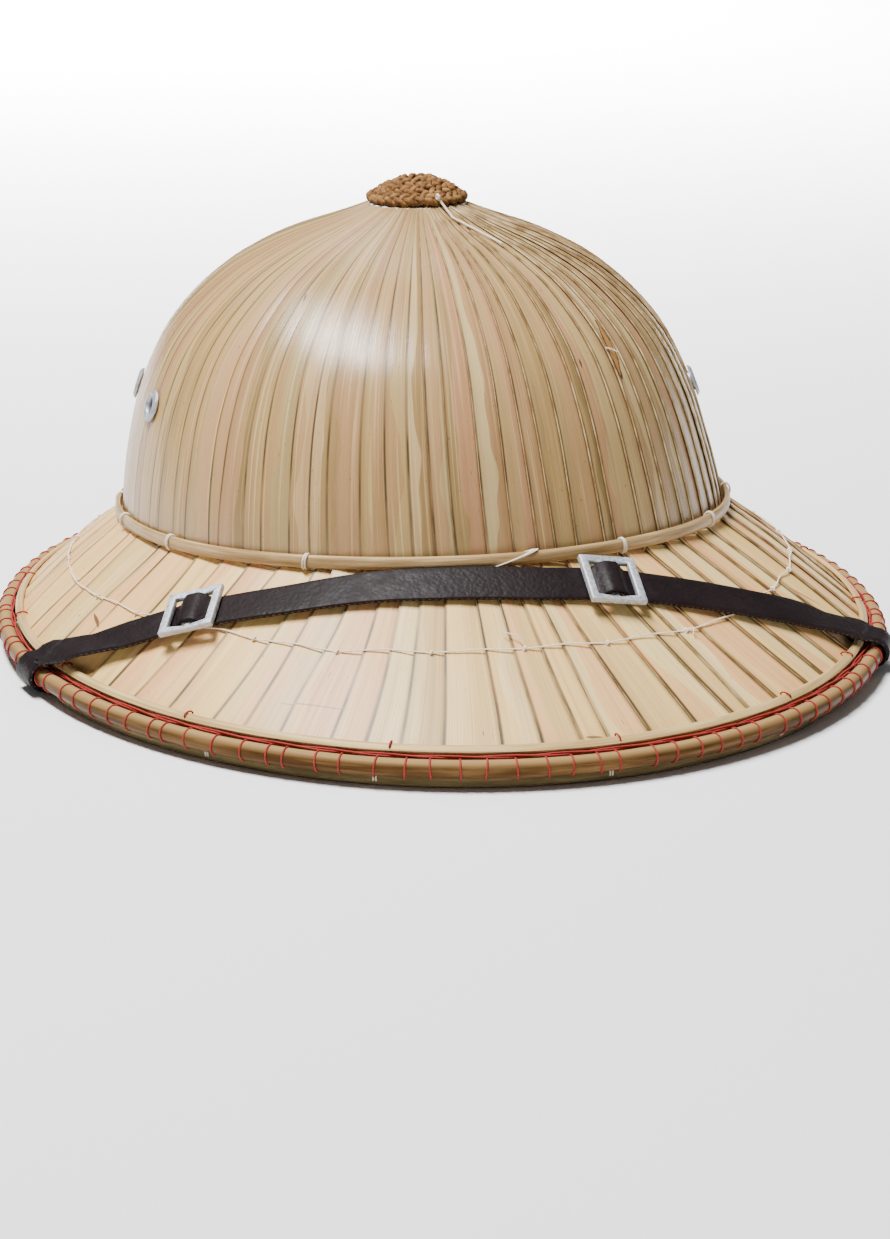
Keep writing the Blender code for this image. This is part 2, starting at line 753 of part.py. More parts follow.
def make_eyelet(name, place, collection):
    """A rolled metal ring with a barrel through the leaf."""
    barrel = EYELET_HOLE_RADIUS + EYELET_BARREL_WALL
    back = -LEAF_WALL - LEAF_STEP - GAP
    profile = (
        # radius, height over the leaf
        (EYELET_HOLE_RADIUS, GAP + EYELET_STAND * 0.7),
        ((EYELET_HOLE_RADIUS + EYELET_FLANGE_RADIUS) / 2, GAP + EYELET_STAND),
        (EYELET_FLANGE_RADIUS, GAP + EYELET_STAND * 0.5),
        (EYELET_FLANGE_RADIUS, GAP),
        (barrel, GAP),
        (barrel, back),
        (EYELET_HOLE_RADIUS, back),
    )
    form = bmesh.new()
    verts = [form.verts.new((radius, 0.0, height)) for radius, height in profile]
    for i, vert in enumerate(verts):
        form.edges.new((vert, verts[(i + 1) % len(verts)]))
    mesh = bpy.data.meshes.new(name)
    form.to_mesh(mesh)
    form.free()
    metal = new_material(name + "_metal", (0.70, 0.72, 0.75), 0.4, 0.8)
    eyelet = add_object(name, mesh, metal, collection)
    turn = eyelet.modifiers.new("turned", "SCREW")
    turn.steps = EYELET_SIDES
    turn.render_steps = EYELET_SIDES
    turn.use_merge_vertices = True
    turn.merge_threshold = 0.00001
    turn.use_normal_calculate = True
    eyelet.matrix_world = eyelet_place(place)
    return eyelet


def make_button(collection):
    """The plaited button, wound in three turns that step in towards the top."""
    foot = CROWN_TOP + GAP
    turns = (
        # radius as a share, its top as a share of the height, lobes of the plait
        (1.00, 0.36, 18),
        (0.74, 0.70, 12),
        (0.44, 1.00, 9),
    )
    middle = crown_middle(1.0)
    sections = []
    base = 0.0
    for share, top, lobes in turns:
        rise = top - base
        for radius, height in ((0.93, 0.02), (1.0, 0.45), (0.9, 0.95)):
            ring = []
            for i in range(BUTTON_COLUMNS):
                angle = 2 * math.pi * i / BUTTON_COLUMNS
                lobe = 1 + BUTTON_LOBE * math.cos(lobes * angle) * (1 if 0.2 < height < 0.9 else 0)
                reach = BUTTON_RADIUS * share * radius * lobe
                level = foot + BUTTON_HEIGHT * (base + rise * height)
                ring.append(oval(angle, reach, reach, level, middle))
            sections.append(ring)
        base = top
    plait = new_material("button_straw", (0.55, 0.37, 0.20), 0.7)
    return add_object("top_button", skin("top_button", sections), plait, collection)


def main():
    """Builds the hat."""
    clear_scene()
    hat = new_collection("pith_helmet")
    cutters = new_collection("cutters")
    make_crown(hat, cutters)
    make_brim(hat)
    make_crown_band(hat)
    make_rim_top_cane(hat)
    make_rim_hoop(hat)
    make_rim_under_hoop(hat)
    make_strap(hat)
    rows = strap_rows()
    for name, run in buckle_places(rows).items():
        make_buckle(name, rows, run, hat, cutters)
    for name, place in EYELETS.items():
        make_eyelet(name, place, hat)
    make_button(hat)
    bpy.context.view_layer.update()


main()
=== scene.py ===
"""Looks of the sun helmet of palm-leaf strips: leaf, canes, lashings, strap, buckles, eyelets, button."""

import math

import bmesh
import bpy
import numpy as np
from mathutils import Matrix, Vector


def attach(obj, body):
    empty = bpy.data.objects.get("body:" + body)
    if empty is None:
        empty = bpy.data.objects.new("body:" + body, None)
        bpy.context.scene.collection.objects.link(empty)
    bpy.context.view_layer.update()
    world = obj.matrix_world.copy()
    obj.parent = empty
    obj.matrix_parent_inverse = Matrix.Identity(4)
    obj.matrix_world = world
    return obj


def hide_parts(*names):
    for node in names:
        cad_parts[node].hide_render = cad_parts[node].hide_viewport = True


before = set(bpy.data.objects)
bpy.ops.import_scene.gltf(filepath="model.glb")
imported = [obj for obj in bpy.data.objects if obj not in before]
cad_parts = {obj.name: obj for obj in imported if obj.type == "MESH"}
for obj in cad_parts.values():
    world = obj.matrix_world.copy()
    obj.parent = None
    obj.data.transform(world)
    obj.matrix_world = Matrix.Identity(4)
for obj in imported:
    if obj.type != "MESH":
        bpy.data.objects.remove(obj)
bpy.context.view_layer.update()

# Crown. Eighty strips of dried palm leaf lie side by side from the foot of the crown to its top, each
# with its left edge over its left neighbour. They are sewn at the foot and drawn together at the top.
crown_length = 0.2304
crown_width = 0.2034
crown_back = 0.0111
crown_aside = -0.0037
crown_top = 0.145
crown_lean = -0.0092
crown_return = 0.0077
top_aside = crown_aside + crown_lean + crown_return
crown_strips = 80
crown_strip_mm = (9.0, 150.0)
crown_foot = -0.05
crown_summit = 0.995
leaf_wall = 0.00055
leaf_step = 0.0008
leaf_gap = 0.0003
strip_tuck = 0.14
strip_bow = 0.00014
strip_curl = 0.00012
band_middle = 0.0416
band_front_rise = 0.0067
band_left_rise = 0.0015
band_end_rise = 0.001
dome_heights = (-0.06, 0.00, 0.22, 0.44, 0.63, 0.79, 0.885, 0.95, 1.00)
dome_widths = (1.000, 1.000, 0.961, 0.896, 0.792, 0.621, 0.443, 0.258, 0.130)
# The crown's leaf tones, which the linings use too, are darker than the brim's: partly the leaf's own tone,
# partly painted shade for the crown's walls.
crown_tones_with_shade = (
    # place on the ramp, colour
    (0.00, (0.27, 0.16, 0.06)),
    (0.15, (0.47, 0.33, 0.135)),
    (0.30, (0.37, 0.20, 0.095)),
    (0.45, (0.41, 0.285, 0.10)),
    (0.60, (0.42, 0.22, 0.105)),
    (0.72, (0.54, 0.40, 0.19)),
    (0.86, (0.26, 0.18, 0.065)),
    (1.00, (0.40, 0.24, 0.10)),
)
crown_marks = (
    # from: angle, share; to: angle, share; half its width, colour inside, colour of its edge
    (39.8, 0.700, 37.0, 0.500, 0.0024, (0.36, 0.17, 0.045), (0.06, 0.025, 0.008)),
    (27.5, 0.60, 27.3, 0.57, 0.0004, (0.08, 0.05, 0.02), (0.10, 0.06, 0.03)),
    (-44.0, 0.79, -43.0, 0.765, 0.0004, (0.10, 0.06, 0.03), (0.12, 0.07, 0.03)),
)
vent_hole = 0.0027
vent_clearance = 0.0004
vent_rod_length = 0.012
vent_places = (
    # angle, share of the crown's height
    (-78.0, 0.40),
    (-102.0, 0.40),
    (78.0, 0.40),
    (102.0, 0.40),
)


def smooth_curve(known, values, x):
    """Values at x on a smooth curve through the known ones."""
    known, values = np.array(known), np.array(values)
    count = np.arange(len(known))
    low, high = np.maximum(count - 1, 0), np.minimum(count + 1, len(known) - 1)
    slopes = (values[high] - values[low]) / (known[high] - known[low])
    i = np.clip(np.searchsorted(known, x) - 1, 0, len(known) - 2)
    span = known[i + 1] - known[i]
    t = (x - known[i]) / span
    rise = values[i + 1] - values[i]
    start, end = slopes[i] * span, slopes[i + 1] * span
    return values[i] + t * start + t * t * (3 * rise - 2 * start - end) + t**3 * (start + end - 2 * rise)


def oval(angle, length, width, height, middle_x=0.0, middle_y=0.0):
    """Points of an upright oval, of half the length and width given."""
    x = middle_x + width * np.sin(angle)
    y = middle_y - length * np.cos(angle)
    return np.stack(np.broadcast_arrays(x, y, height), axis=-1)


def band_height(angle):
    """Height of the lower edge of the cane round the crown's foot."""
    tilt = band_front_rise * np.cos(angle) + band_left_rise * np.sin(angle)
    return band_middle + tilt + band_end_rise * np.cos(2 * angle)


def crown_surface(angle, share):
    """Points on the crown at a share of its height."""
    angle, share = np.broadcast_arrays(np.asarray(angle, float), np.asarray(share, float))
    wide = smooth_curve(dome_heights, dome_widths, share)
    height = band_height(angle) * (1 - share) + crown_top * share
    up = np.maximum(share, 0.0)
    aside = crown_aside + crown_lean * up + crown_return * up * up
    return oval(angle, wide * crown_length / 2, wide * crown_width / 2, height, aside, crown_back)


def surface_normal(surface, angle, share):
    """The way out of a surface, upwards where it slopes."""
    step = 0.004
    along = surface(angle + step, share) - surface(angle - step, share)
    across = surface(angle, share + step) - surface(angle, share - step)
    normal = np.cross(across, along)
    normal /= np.linalg.norm(normal, axis=-1, keepdims=True)
    return np.where(normal[..., 2:] < 0, -normal, normal)


def on_crown(angle, share, out=0.0):
    """Points on the crown, moved out of it."""
    normal = surface_normal(crown_surface, angle, np.clip(share, 0.01, 0.99))
    return crown_surface(angle, share) + np.asarray(out)[..., None] * normal


def move_points(piece, points):
    """Sets a mesh's points."""
    piece.data.vertices.foreach_set("co", np.asarray(points, np.float32).ravel())
    piece.data.update()


def mesh_points(piece):
    """A mesh's points."""
    points = np.zeros(len(piece.data.vertices) * 3, np.float32)
    piece.data.vertices.foreach_get("co", points)
    return points.reshape(-1, 3).astype(float)


def set_attribute(piece, name, values):
    """Gives each point of a mesh a value that its finish reads."""
    attribute = piece.data.attributes.new(name, "FLOAT", "POINT")
    attribute.data.foreach_set("value", np.broadcast_to(values, len(piece.data.vertices)).astype(np.float32))


def flat_grid(name, across, along):
    """A flat sheet from 0 to 1 both ways, to be laid on a surface."""
    bpy.ops.object.select_all(action="DESELECT")
    bpy.ops.mesh.primitive_grid_add(
        x_subdivisions=across, y_subdivisions=along, size=1, location=(0.5, 0.5, 0)
    )
    sheet = bpy.context.object
    bpy.ops.object.transform_apply(location=True, rotation=True, scale=True)
    sheet.name = name
    return sheet


def copy_of(piece):
    """Another of a piece, with its own mesh."""
    made = piece.copy()
    made.data = piece.data.copy()
    bpy.context.scene.collection.objects.link(made)
    return made


def join_pieces(pieces, name):
    """One piece of many."""
    bpy.ops.object.select_all(action="DESELECT")
    for piece in pieces:
        piece.select_set(True)
    bpy.context.view_layer.objects.active = pieces[0]
    bpy.ops.object.join()
    pieces[0].name = name
    pieces[0].data.name = name
    return pieces[0]


def apply_modifier(piece, name, kind, **settings):
    """Adds a modifier with its settings and applies it."""
    modifier = piece.modifiers.new(name, kind)
    for key, value in settings.items():
        setattr(modifier, key, value)
    bpy.context.view_layer.objects.active = piece
    bpy.ops.object.modifier_apply(modifier=name)


def smooth_shade(piece, degrees=35):
    """Smooth faces, with the sharp edges kept."""
    bpy.ops.object.select_all(action="DESELECT")
    piece.select_set(True)
    bpy.context.view_layer.objects.active = piece
    bpy.ops.object.shade_smooth_by_angle(angle=math.radians(degrees))


def finish_of(name, roughness, metallic=0.0):
    """A new finish: its node tree and its shader."""
    material = bpy.data.materials.new(name)
    material.use_nodes = True
    shader = material.node_tree.nodes["Principled BSDF"]
    shader.inputs["Roughness"].default_value = roughness
    shader.inputs["Metallic"].default_value = metallic
    return material, material.node_tree, shader


def add_node(tree, kind, inputs=(), **settings):
    """A node of a finish, with its settings and what goes into its sockets."""
    node = tree.nodes.new(kind)
    for key, value in settings.items():
        setattr(node, key, value)
    for socket, value in dict(inputs).items():
        if isinstance(value, bpy.types.NodeSocket):
            tree.links.new(value, node.inputs[socket])
        else:
            node.inputs[socket].default_value = value
    return node


def ramp(tree, factor, stops):
    """A colour ramp's colour for a factor."""
    node = add_node(tree, "ShaderNodeValToRGB", {0: factor})
    elements = node.color_ramp.elements
    while len(elements) < len(stops):
        elements.new(0.5)
    for element, (place, color) in zip(elements, stops):
        element.position = place
        element.color = (*color, 1.0) if len(color) == 3 else color
    return node.outputs["Color"]


def spread(tree, value, low, high, first=0.0, last=1.0):
    """A value of one range, stretched to another."""
    inputs = {"Value": value, "From Min": low, "From Max": high, "To Min": first, "To Max": last}
    return add_node(tree, "ShaderNodeMapRange", inputs).outputs["Result"]


def mix(tree, factor, first, second, blend="MIX"):
    """Two colours mixed."""
    node = add_node(tree, "ShaderNodeMix", data_type="RGBA", blend_type=blend)
    for socket, value in ((0, factor), (6, first), (7, second)):
        if isinstance(value, bpy.types.NodeSocket):
            tree.links.new(value, node.inputs[socket])
        else:
            node.inputs[socket].default_value = value if socket == 0 else (*value, 1.0)
    return node.outputs[2]


def calculate(tree, operation, first, second=0.0):
    """The sum, product or other result of two values."""
    return add_node(tree, "ShaderNodeMath", {0: first, 1: second}, operation=operation).outputs[0]


def noise(tree, where, scale=1.0, detail=2.0, roughness=0.5):
    """Soft noise at a place."""
    inputs = {"Vector": where, "Scale": scale, "Detail": detail, "Roughness": roughness}
    return add_node(tree, "ShaderNodeTexNoise", inputs).outputs["Fac"]


def add_mark(tree, color, surface, mark):
    """A slit, streak or stain on the leaf: a lens between two places on it, with its edge."""
    first = surface(math.radians(mark[0]), mark[1])
    last = surface(math.radians(mark[2]), mark[3])
    middle, half = (first + last) / 2, np.linalg.norm(last - first) / 2
    along = (last - first) / (2 * half)
    out = surface_normal(surface, np.array(math.radians(mark[0])), np.array(mark[1]))
    beside = np.cross(out, along)
    place = add_node(tree, "ShaderNodeTexCoord").outputs["Object"]
    away = add_node(
        tree, "ShaderNodeVectorMath", {0: place, 1: tuple(middle)}, operation="SUBTRACT"
    ).outputs[0]
    share = []
    for way, reach in ((along, half), (beside, mark[4])):
        part = add_node(
            tree, "ShaderNodeVectorMath", {0: away, 1: tuple(way / reach)}, operation="DOT_PRODUCT"
        ).outputs["Value"]
        share.append(calculate(tree, "ABSOLUTE", part))
    ragged = spread(tree, noise(tree, place, scale=500.0, detail=2.0), 0.3, 0.7, 0.85, 1.1)
    lens = calculate(tree, "SUBTRACT", ragged, calculate(tree, "POWER", share[0], 2.0))
    depth = calculate(tree, "SUBTRACT", lens, share[1])
    inside = spread(tree, depth, 0.0, 0.12)
    edge = spread(tree, depth, 0.45, 0.25)
    return mix(tree, inside, color, mix(tree, edge, mark[5], mark[6]))


def leaf_finish(name, tones, surface, marks, width, length, streak=0.6, rough=(0.22, 0.36), shade=0.7):
    """Dried palm leaf: two tones on each strip, bands and fibres along it, specks, dark seams, and painted
    shade beside the edge of the next strip.

    A strip's width and length are in millimetres.
    """
    material, tree, shader = finish_of(name, 0.4)
    shader.inputs["Specular IOR Level"].default_value = 0.42
    from_left = add_node(tree, "ShaderNodeAttribute", attribute_name="from_left").outputs["Fac"]
    to_next = add_node(tree, "ShaderNodeAttribute", attribute_name="to_next").outputs["Fac"]
    layout = add_node(tree, "ShaderNodeUVMap", uv_map="UVMap").outputs["UV"]
    seed = add_node(tree, "ShaderNodeAttribute", attribute_name="strip").outputs["Fac"]
    split = add_node(tree, "ShaderNodeSeparateXYZ", {0: layout})
    across = split.outputs["X"]
    along = split.outputs["Y"]
    shift = calculate(tree, "MULTIPLY", seed, 91.7)

    def streaks(fine, slow):
        x = calculate(tree, "MULTIPLY", across, width * fine)
        y = calculate(tree, "MULTIPLY", along, length * slow)
        return add_node(tree, "ShaderNodeCombineXYZ", {0: x, 1: y, 2: shift}).outputs[0]

    def chance_of(factor):
        return calculate(tree, "FRACT", calculate(tree, "MULTIPLY", seed, factor))

    first = ramp(tree, seed, tones)
    second = ramp(tree, chance_of(7.31), tones)
    waver = noise(tree, streaks(0.0, 0.03), detail=1.0)
    fold = calculate(tree, "ADD", spread(tree, chance_of(3.7), 0.0, 1.0, 0.2, 0.62), waver)
    beyond = calculate(tree, "SUBTRACT", calculate(tree, "ADD", across, 0.5), fold)
    color = mix(tree, spread(tree, beyond, -0.015, 0.015), first, second)
    band = noise(tree, streaks(0.30, 0.006), detail=1.0)
    shades = (
        (0.32, (0.70, 0.66, 0.60)),
        (0.42, (0.86, 0.80, 0.78)),
        (0.50, (1.00, 1.00, 1.00)),
        (0.60, (1.00, 0.98, 0.92)),
        (0.70, (0.84, 0.84, 0.74)),
    )
    color = mix(tree, streak, color, ramp(tree, band, shades), "MULTIPLY")
    fibre = noise(tree, streaks(3.2, 0.02), detail=4.0, roughness=0.65)
    color = mix(tree, spread(tree, fibre, 0.45, 0.8, 0.0, 0.4), color, (0.30, 0.18, 0.08))
    pale = noise(tree, streaks(1.4, 0.01), detail=2.0)
    color = mix(tree, spread(tree, pale, 0.55, 0.75, 0.0, 0.35), color, (0.88, 0.66, 0.33))
    cloud = noise(tree, streaks(0.12, 0.03), detail=3.0)
    color = mix(tree, spread(tree, cloud, 0.5, 0.8, 0.0, 0.3), color, (0.44, 0.24, 0.11))
    speck = noise(tree, streaks(1.1, 0.22), scale=1.6, detail=2.0)
    color = mix(tree, spread(tree, speck, 0.72, 0.75, 0.0, 0.8), color, (0.16, 0.08, 0.03))
    rust = spread(tree, noise(tree, streaks(0.0, 0.008), detail=1.0), 0.56, 0.64)
    rusty = calculate(tree, "MULTIPLY", spread(tree, from_left, 0.12, 0.05, 0.0, 0.8), rust)
    color = mix(tree, rusty, color, (0.42, 0.14, 0.04))
    strength = spread(tree, noise(tree, streaks(0.0, 0.03), detail=2.0), 0.35, 0.6, 0.45, 1.0)
    seam = calculate(tree, "MULTIPLY", spread(tree, from_left, 0.055, 0.11, 1.0, 0.0), strength)
    color = mix(tree, seam, color, (0.075, 0.05, 0.02))
    # Painted shade: the leaf is darkened towards the edge of the next strip that lies over it, as strongly as
    # shade says.
    painted_shade_by_next = spread(tree, to_next, 0.10, 0.015, 0.0, shade)
    color = mix(tree, painted_shade_by_next, color, (0.11, 0.06, 0.026))
    for mark in marks:
        color = add_mark(tree, color, surface, mark)
    tree.links.new(color, shader.inputs["Base Color"])
    tree.links.new(spread(tree, fibre, 0.3, 0.7, *rough), shader.inputs["Roughness"])
    height = calculate(tree, "MULTIPLY_ADD", fibre, 0.7)
    tree.links.new(calculate(tree, "MULTIPLY", pale, 0.5), height.node.inputs[2])
    bump = add_node(tree, "ShaderNodeBump", {"Height": height, "Strength": 0.3, "Distance": 0.0003})
    tree.links.new(bump.outputs["Normal"], shader.inputs["Normal"])
    return material


def cut_finish():
    """The cut edge of a strip: pale, partly the dry leaf's own tone and partly a painted highlight along the
    raised edges, and a little soiled.
    """
    material, tree, shader = finish_of("cut_edge_with_highlight", 0.6)
    place = add_node(tree, "ShaderNodeTexCoord").outputs["Object"]
    soil = noise(tree, place, scale=160.0, detail=3.0)
    tones = ((0.35, (0.22, 0.13, 0.05)), (0.5, (0.42, 0.29, 0.13)), (0.65, (0.60, 0.46, 0.26)))
    tree.links.new(ramp(tree, soil, tones), shader.inputs["Base Color"])
    bump = add_node(tree, "ShaderNodeBump", {"Height": soil, "Strength": 0.3, "Distance": 0.0002})
    tree.links.new(bump.outputs["Normal"], shader.inputs["Normal"])
    return material


def vent_ways(degrees, share):
    """A vent's seat on the crown, and its ways sideways, up and out."""
    angle = math.radians(degrees)
    out = surface_normal(crown_surface, np.array(angle), np.array(share))
    up = np.cross(out, np.cross((0.0, 0.0, 1.0), out))
    up /= np.linalg.norm(up)
    return crown_surface(angle, share), np.stack([np.cross(up, out), up, out])


def give_wall(strip, thickness):
    """Gives a strip its thickness, and opens it where a vent goes through."""
    apply_modifier(
        strip, "wall", "SOLIDIFY",
        thickness=thickness, offset=-1.0, use_even_offset=True, material_offset_rim=1,
    )
    points = mesh_points(strip)
    for degrees, share in vent_places:
        if np.linalg.norm(points - vent_ways(degrees, share)[0], axis=1).min() < vent_rod_length / 2:
            apply_modifier(strip, "vent", "BOOLEAN", operation="DIFFERENCE", object=vent_rods, solver="EXACT")


def wander(chance, along, size, waves=3):
    """A slow random waver along a strip."""
    result = 0.0
    for wave in range(1, waves + 1):
        result = result + chance.normal() / wave * np.sin(math.pi * wave * along + chance.uniform(0, 6.28))
    return size * result


def strip_bounds(count, chance, uneven, aslant):
    """The lines between strips: unevenly spaced, a little aslant and wavering."""
    shifts = chance.uniform(-uneven, uneven, count)
    slants = chance.uniform(-aslant, aslant, count)
    waves = chance.normal(size=(count, 3)) * (0.035, 0.018, 0.012)
    phases = chance.uniform(0, 2 * math.pi, (count, 3))

    def bound(number, along):
        k = number % count
        line = number + shifts[k] + slants[k] * (along - 0.5)
        for wave in range(3):
            line = line + waves[k, wave] * np.sin(math.pi * (wave + 1) * along + phases[k, wave])
        return line

    return bound


def lay_strip(strip, number, turn, bound, chance, place, first, last, end_lift=0.0):
    """Lays a flat strip on a surface, its left edge raised and its right edge under the next one."""
    points = mesh_points(strip)
    across, along = points[:, 0], points[:, 1]
    share = first + (last - first) * along
    left, following = bound(number, along), bound(number + 1, along)
    from_left = (following + strip_tuck - left) * across
    angle = (left + from_left) * turn
    sunk = leaf_step * across * (1 + strip_tuck)
    bow = strip_bow * 4 * across * (1 - across)
    curl = abs(wander(chance, along, strip_curl)) * (1 - across) ** 3
    ends = end_lift * abs(chance.normal()) * np.exp(-(1 - along) / 0.03) * (1 - across)
    move_points(strip, place(angle, share, bow + curl + ends - sunk))
    set_attribute(strip, "strip", chance.uniform())
    set_attribute(strip, "from_left", from_left)
    set_attribute(strip, "to_next", following - left - from_left)


rods = []
for degrees, share in vent_places:
    bpy.ops.object.select_all(action="DESELECT")
    bpy.ops.mesh.primitive_cylinder_add(vertices=24, radius=vent_hole + vent_clearance, depth=vent_rod_length)
    rod = bpy.context.object
    seat, ways = vent_ways(degrees, share)
    move_points(rod, seat + mesh_points(rod) @ ways)
    rods.append(rod)
vent_rods = join_pieces(rods, "vent_rods")
chance = np.random.default_rng(7)
cut_edge_with_highlight = cut_finish()
flat_strip = flat_grid("crown_strip", 5, 46)
flat_strip.data.materials.append(
    leaf_finish("crown_leaf", crown_tones_with_shade, crown_surface, crown_marks, *crown_strip_mm)
)
flat_strip.data.materials.append(cut_edge_with_highlight)
bound = strip_bounds(crown_strips, chance, 0.24, 0.10)
crown_pieces = []
for number in range(crown_strips):
    strip = copy_of(flat_strip)
    lay_strip(strip, number, 2 * math.pi / crown_strips, bound, chance, on_crown, crown_foot, crown_summit)
    give_wall(strip, leaf_wall)
    crown_pieces.append(strip)
bpy.data.objects.remove(flat_strip)
crown_leaf = join_pieces(crown_pieces, "crown_leaf")
smooth_shade(crown_leaf)
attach(crown_leaf, "root")
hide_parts("crown")

# Lining of the crown. A second layer of wider leaf strips closes the crown from inside, where the
# strap's ends are sewn to it. It ends in a small disc under the button.
lining_strips = 48
lining_strip_mm = (15.0, 150.0)
lining_depth = 0.0017
lining_flatness = 0.35
lining_wall = 0.0002
top_disc_radius = 0.0165
top_disc_thickness = 0.0012
top_disc_depth = 0.0014


def in_crown(angle, share, out):
    """Points of the crown's inner layer."""
    return on_crown(angle, share, -lining_depth + lining_flatness * out)


chance = np.random.default_rng(11)
flat_strip = flat_grid("lining_strip", 4, 40)
flat_strip.data.materials.append(
    leaf_finish("lining_leaf", crown_tones_with_shade, crown_surface, (), *lining_strip_mm)
)
flat_strip.data.materials.append(cut_edge_with_highlight)
bound = strip_bounds(lining_strips, chance, 0.15, 0.08)
lining_pieces = []
for number in range(lining_strips):
    strip = copy_of(flat_strip)
    lay_strip(strip, number, 2 * math.pi / lining_strips, bound, chance, in_crown, crown_foot, crown_summit)
    give_wall(strip, lining_wall)
    lining_pieces.append(strip)
bpy.data.objects.remove(flat_strip)
bpy.data.objects.remove(vent_rods)
crown_lining = join_pieces(lining_pieces, "crown_lining")
bpy.ops.object.select_all(action="DESELECT")
bpy.ops.mesh.primitive_cylinder_add(
    vertices=40, radius=top_disc_radius, depth=top_disc_thickness,
    location=(top_aside, crown_back, crown_top - top_disc_depth),
)
top_disc = bpy.context.object
bpy.ops.object.transform_apply(location=True, rotation=True, scale=True)
apply_modifier(top_disc, "edge", "BEVEL", width=0.0003, segments=2)
for name in ("strip", "from_left", "to_next"):
    set_attribute(top_disc, name, 0.2)
crown_lining = join_pieces([crown_lining, top_disc], "crown_lining")
smooth_shade(crown_lining)
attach(crown_lining, "root")

# Brim. Sixty-eight wider strips slope from the crown to the rim, laid over one another the same way
# on a second layer that shows from below. Their inner ends come out raggedly under the crown's cane.
rim_length = 0.3458
rim_width = 0.2982
rim_cane_radius = 0.0029
brim_edge_inset = 0.0069
brim_edge_height = 0.0089
brim_bulge = 0.0012
brim_strips = 68
brim_strip_mm = (14.0, 62.0)
strip_turn = math.radians(11.0)
brim_inner_end = 0.005
brim_end_lift = 0.0006
brim_lining_strip_mm = (22.0, 62.0)
brim_lining_depth = 0.0017
brim_lining_flatness = 0.3
brim_lining_wall = 0.0003
brim_tones = (
    # place on the ramp, colour
    (0.00, (0.80, 0.51, 0.19)),
    (0.20, (0.80, 0.42, 0.17)),
    (0.35, (0.86, 0.58, 0.21)),
    (0.55, (0.62, 0.40, 0.15)),
    (0.70, (0.88, 0.66, 0.29)),
    (0.85, (0.80, 0.43, 0.18)),
    (1.00, (0.84, 0.55, 0.18)),
)
brim_marks = (
    # as on the crown: a rusty streak, a brown bruise, a smudge, scratches
    (57.8, 0.51, 62.4, 0.72, 0.0007, (0.42, 0.12, 0.035), (0.42, 0.16, 0.05)),
    (-70.5, 0.60, -66.5, 0.67, 0.0008, (0.15, 0.07, 0.02), (0.25, 0.13, 0.05)),
    (6.0, 0.935, 9.0, 0.945, 0.0007, (0.20, 0.13, 0.05), (0.30, 0.20, 0.08)),
    (-33.0, 0.80, -22.0, 0.79, 0.0003, (0.30, 0.20, 0.09), (0.34, 0.22, 0.10)),
    (-17.0, 0.945, -7.0, 0.965, 0.0003, (0.34, 0.24, 0.10), (0.34, 0.22, 0.10)),
)


def brim_surface(angle, share):
    """Points on top of the brim, from the crown (0) to its outer edge (1)."""
    angle, share = np.broadcast_arrays(np.asarray(angle, float), np.asarray(share, float))
    inner = oval(
        angle, crown_length / 2 + leaf_gap, crown_width / 2 + leaf_gap, band_height(angle) - leaf_gap,
        crown_aside, crown_back,
    )
    outer = oval(
        angle, rim_length / 2 - brim_edge_inset, rim_width / 2 - brim_edge_inset, brim_edge_height
    )
    points = inner + share[..., None] * (outer - inner)
    points[..., 2] += brim_bulge * 4 * share * (1 - share)
    return points


def on_brim(angle, share, out=0.0):
    """Points on the brim, moved straight up by as much as it takes to lie out of it."""
    points = brim_surface(angle, share)
    points[..., 2] += out / surface_normal(brim_surface, angle, share)[..., 2]
    return points


def along_strip(angle, share, out):
    """Points on the brim by the angle at the rim: strips run square to the rim, not to the middle."""
    return on_brim(angle - strip_turn * np.sin(2 * angle) * (1 - share), share, out)


def under_brim(angle, share, out):
    """Points of the brim's lower layer."""
    return along_strip(angle, share, -brim_lining_depth + brim_lining_flatness * out)


chance = np.random.default_rng(23)
flat_strip = flat_grid("brim_strip", 5, 20)
flat_strip.data.materials.append(
    leaf_finish(
        "brim_leaf", brim_tones, brim_surface, brim_marks, *brim_strip_mm, 0.5, (0.36, 0.52), 0.5
    )
)
flat_strip.data.materials.append(cut_edge_with_highlight)
bound = strip_bounds(brim_strips, chance, 0.28, 0.14)
brim_pieces = []
for number in range(brim_strips):
    strip = copy_of(flat_strip)
    turn = 2 * math.pi / brim_strips
    lay_strip(strip, number, turn, bound, chance, along_strip, 1.0, brim_inner_end, brim_end_lift)
    brim_pieces.append(strip)
brim_leaf = join_pieces(brim_pieces, "brim_leaf")
apply_modifier(
    brim_leaf, "wall", "SOLIDIFY",
    thickness=leaf_wall, offset=-1.0, use_even_offset=True, material_offset_rim=1,
)
smooth_shade(brim_leaf)
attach(brim_leaf, "root")
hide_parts("brim")

flat_strip.data.materials[0] = leaf_finish(
    "brim_lining", crown_tones_with_shade, brim_surface, (), *brim_lining_strip_mm
)
bound = strip_bounds(brim_strips // 2, chance, 0.15, 0.10)
lower_pieces = []
for number in range(brim_strips // 2):
    strip = copy_of(flat_strip)
    turn = 4 * math.pi / brim_strips
    lay_strip(strip, number, turn, bound, chance, under_brim, 1.0, brim_inner_end)
    lower_pieces.append(strip)
bpy.data.objects.remove(flat_strip)
brim_lining = join_pieces(lower_pieces, "brim_lining")
apply_modifier(
    brim_lining, "wall", "SOLIDIFY", thickness=brim_lining_wall, offset=-1.0, use_even_offset=True
)
smooth_shade(brim_lining)
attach(brim_lining, "root")

# Cane round the foot of the crown. A split cane with its rounded skin outwards stands on the brim
# and is tied through the leaf in fourteen places. It wavers a little off the leaf between them.
band_cane_height = 0.0040
band_cane_thickness = 0.0023
band_looseness = 0.00025


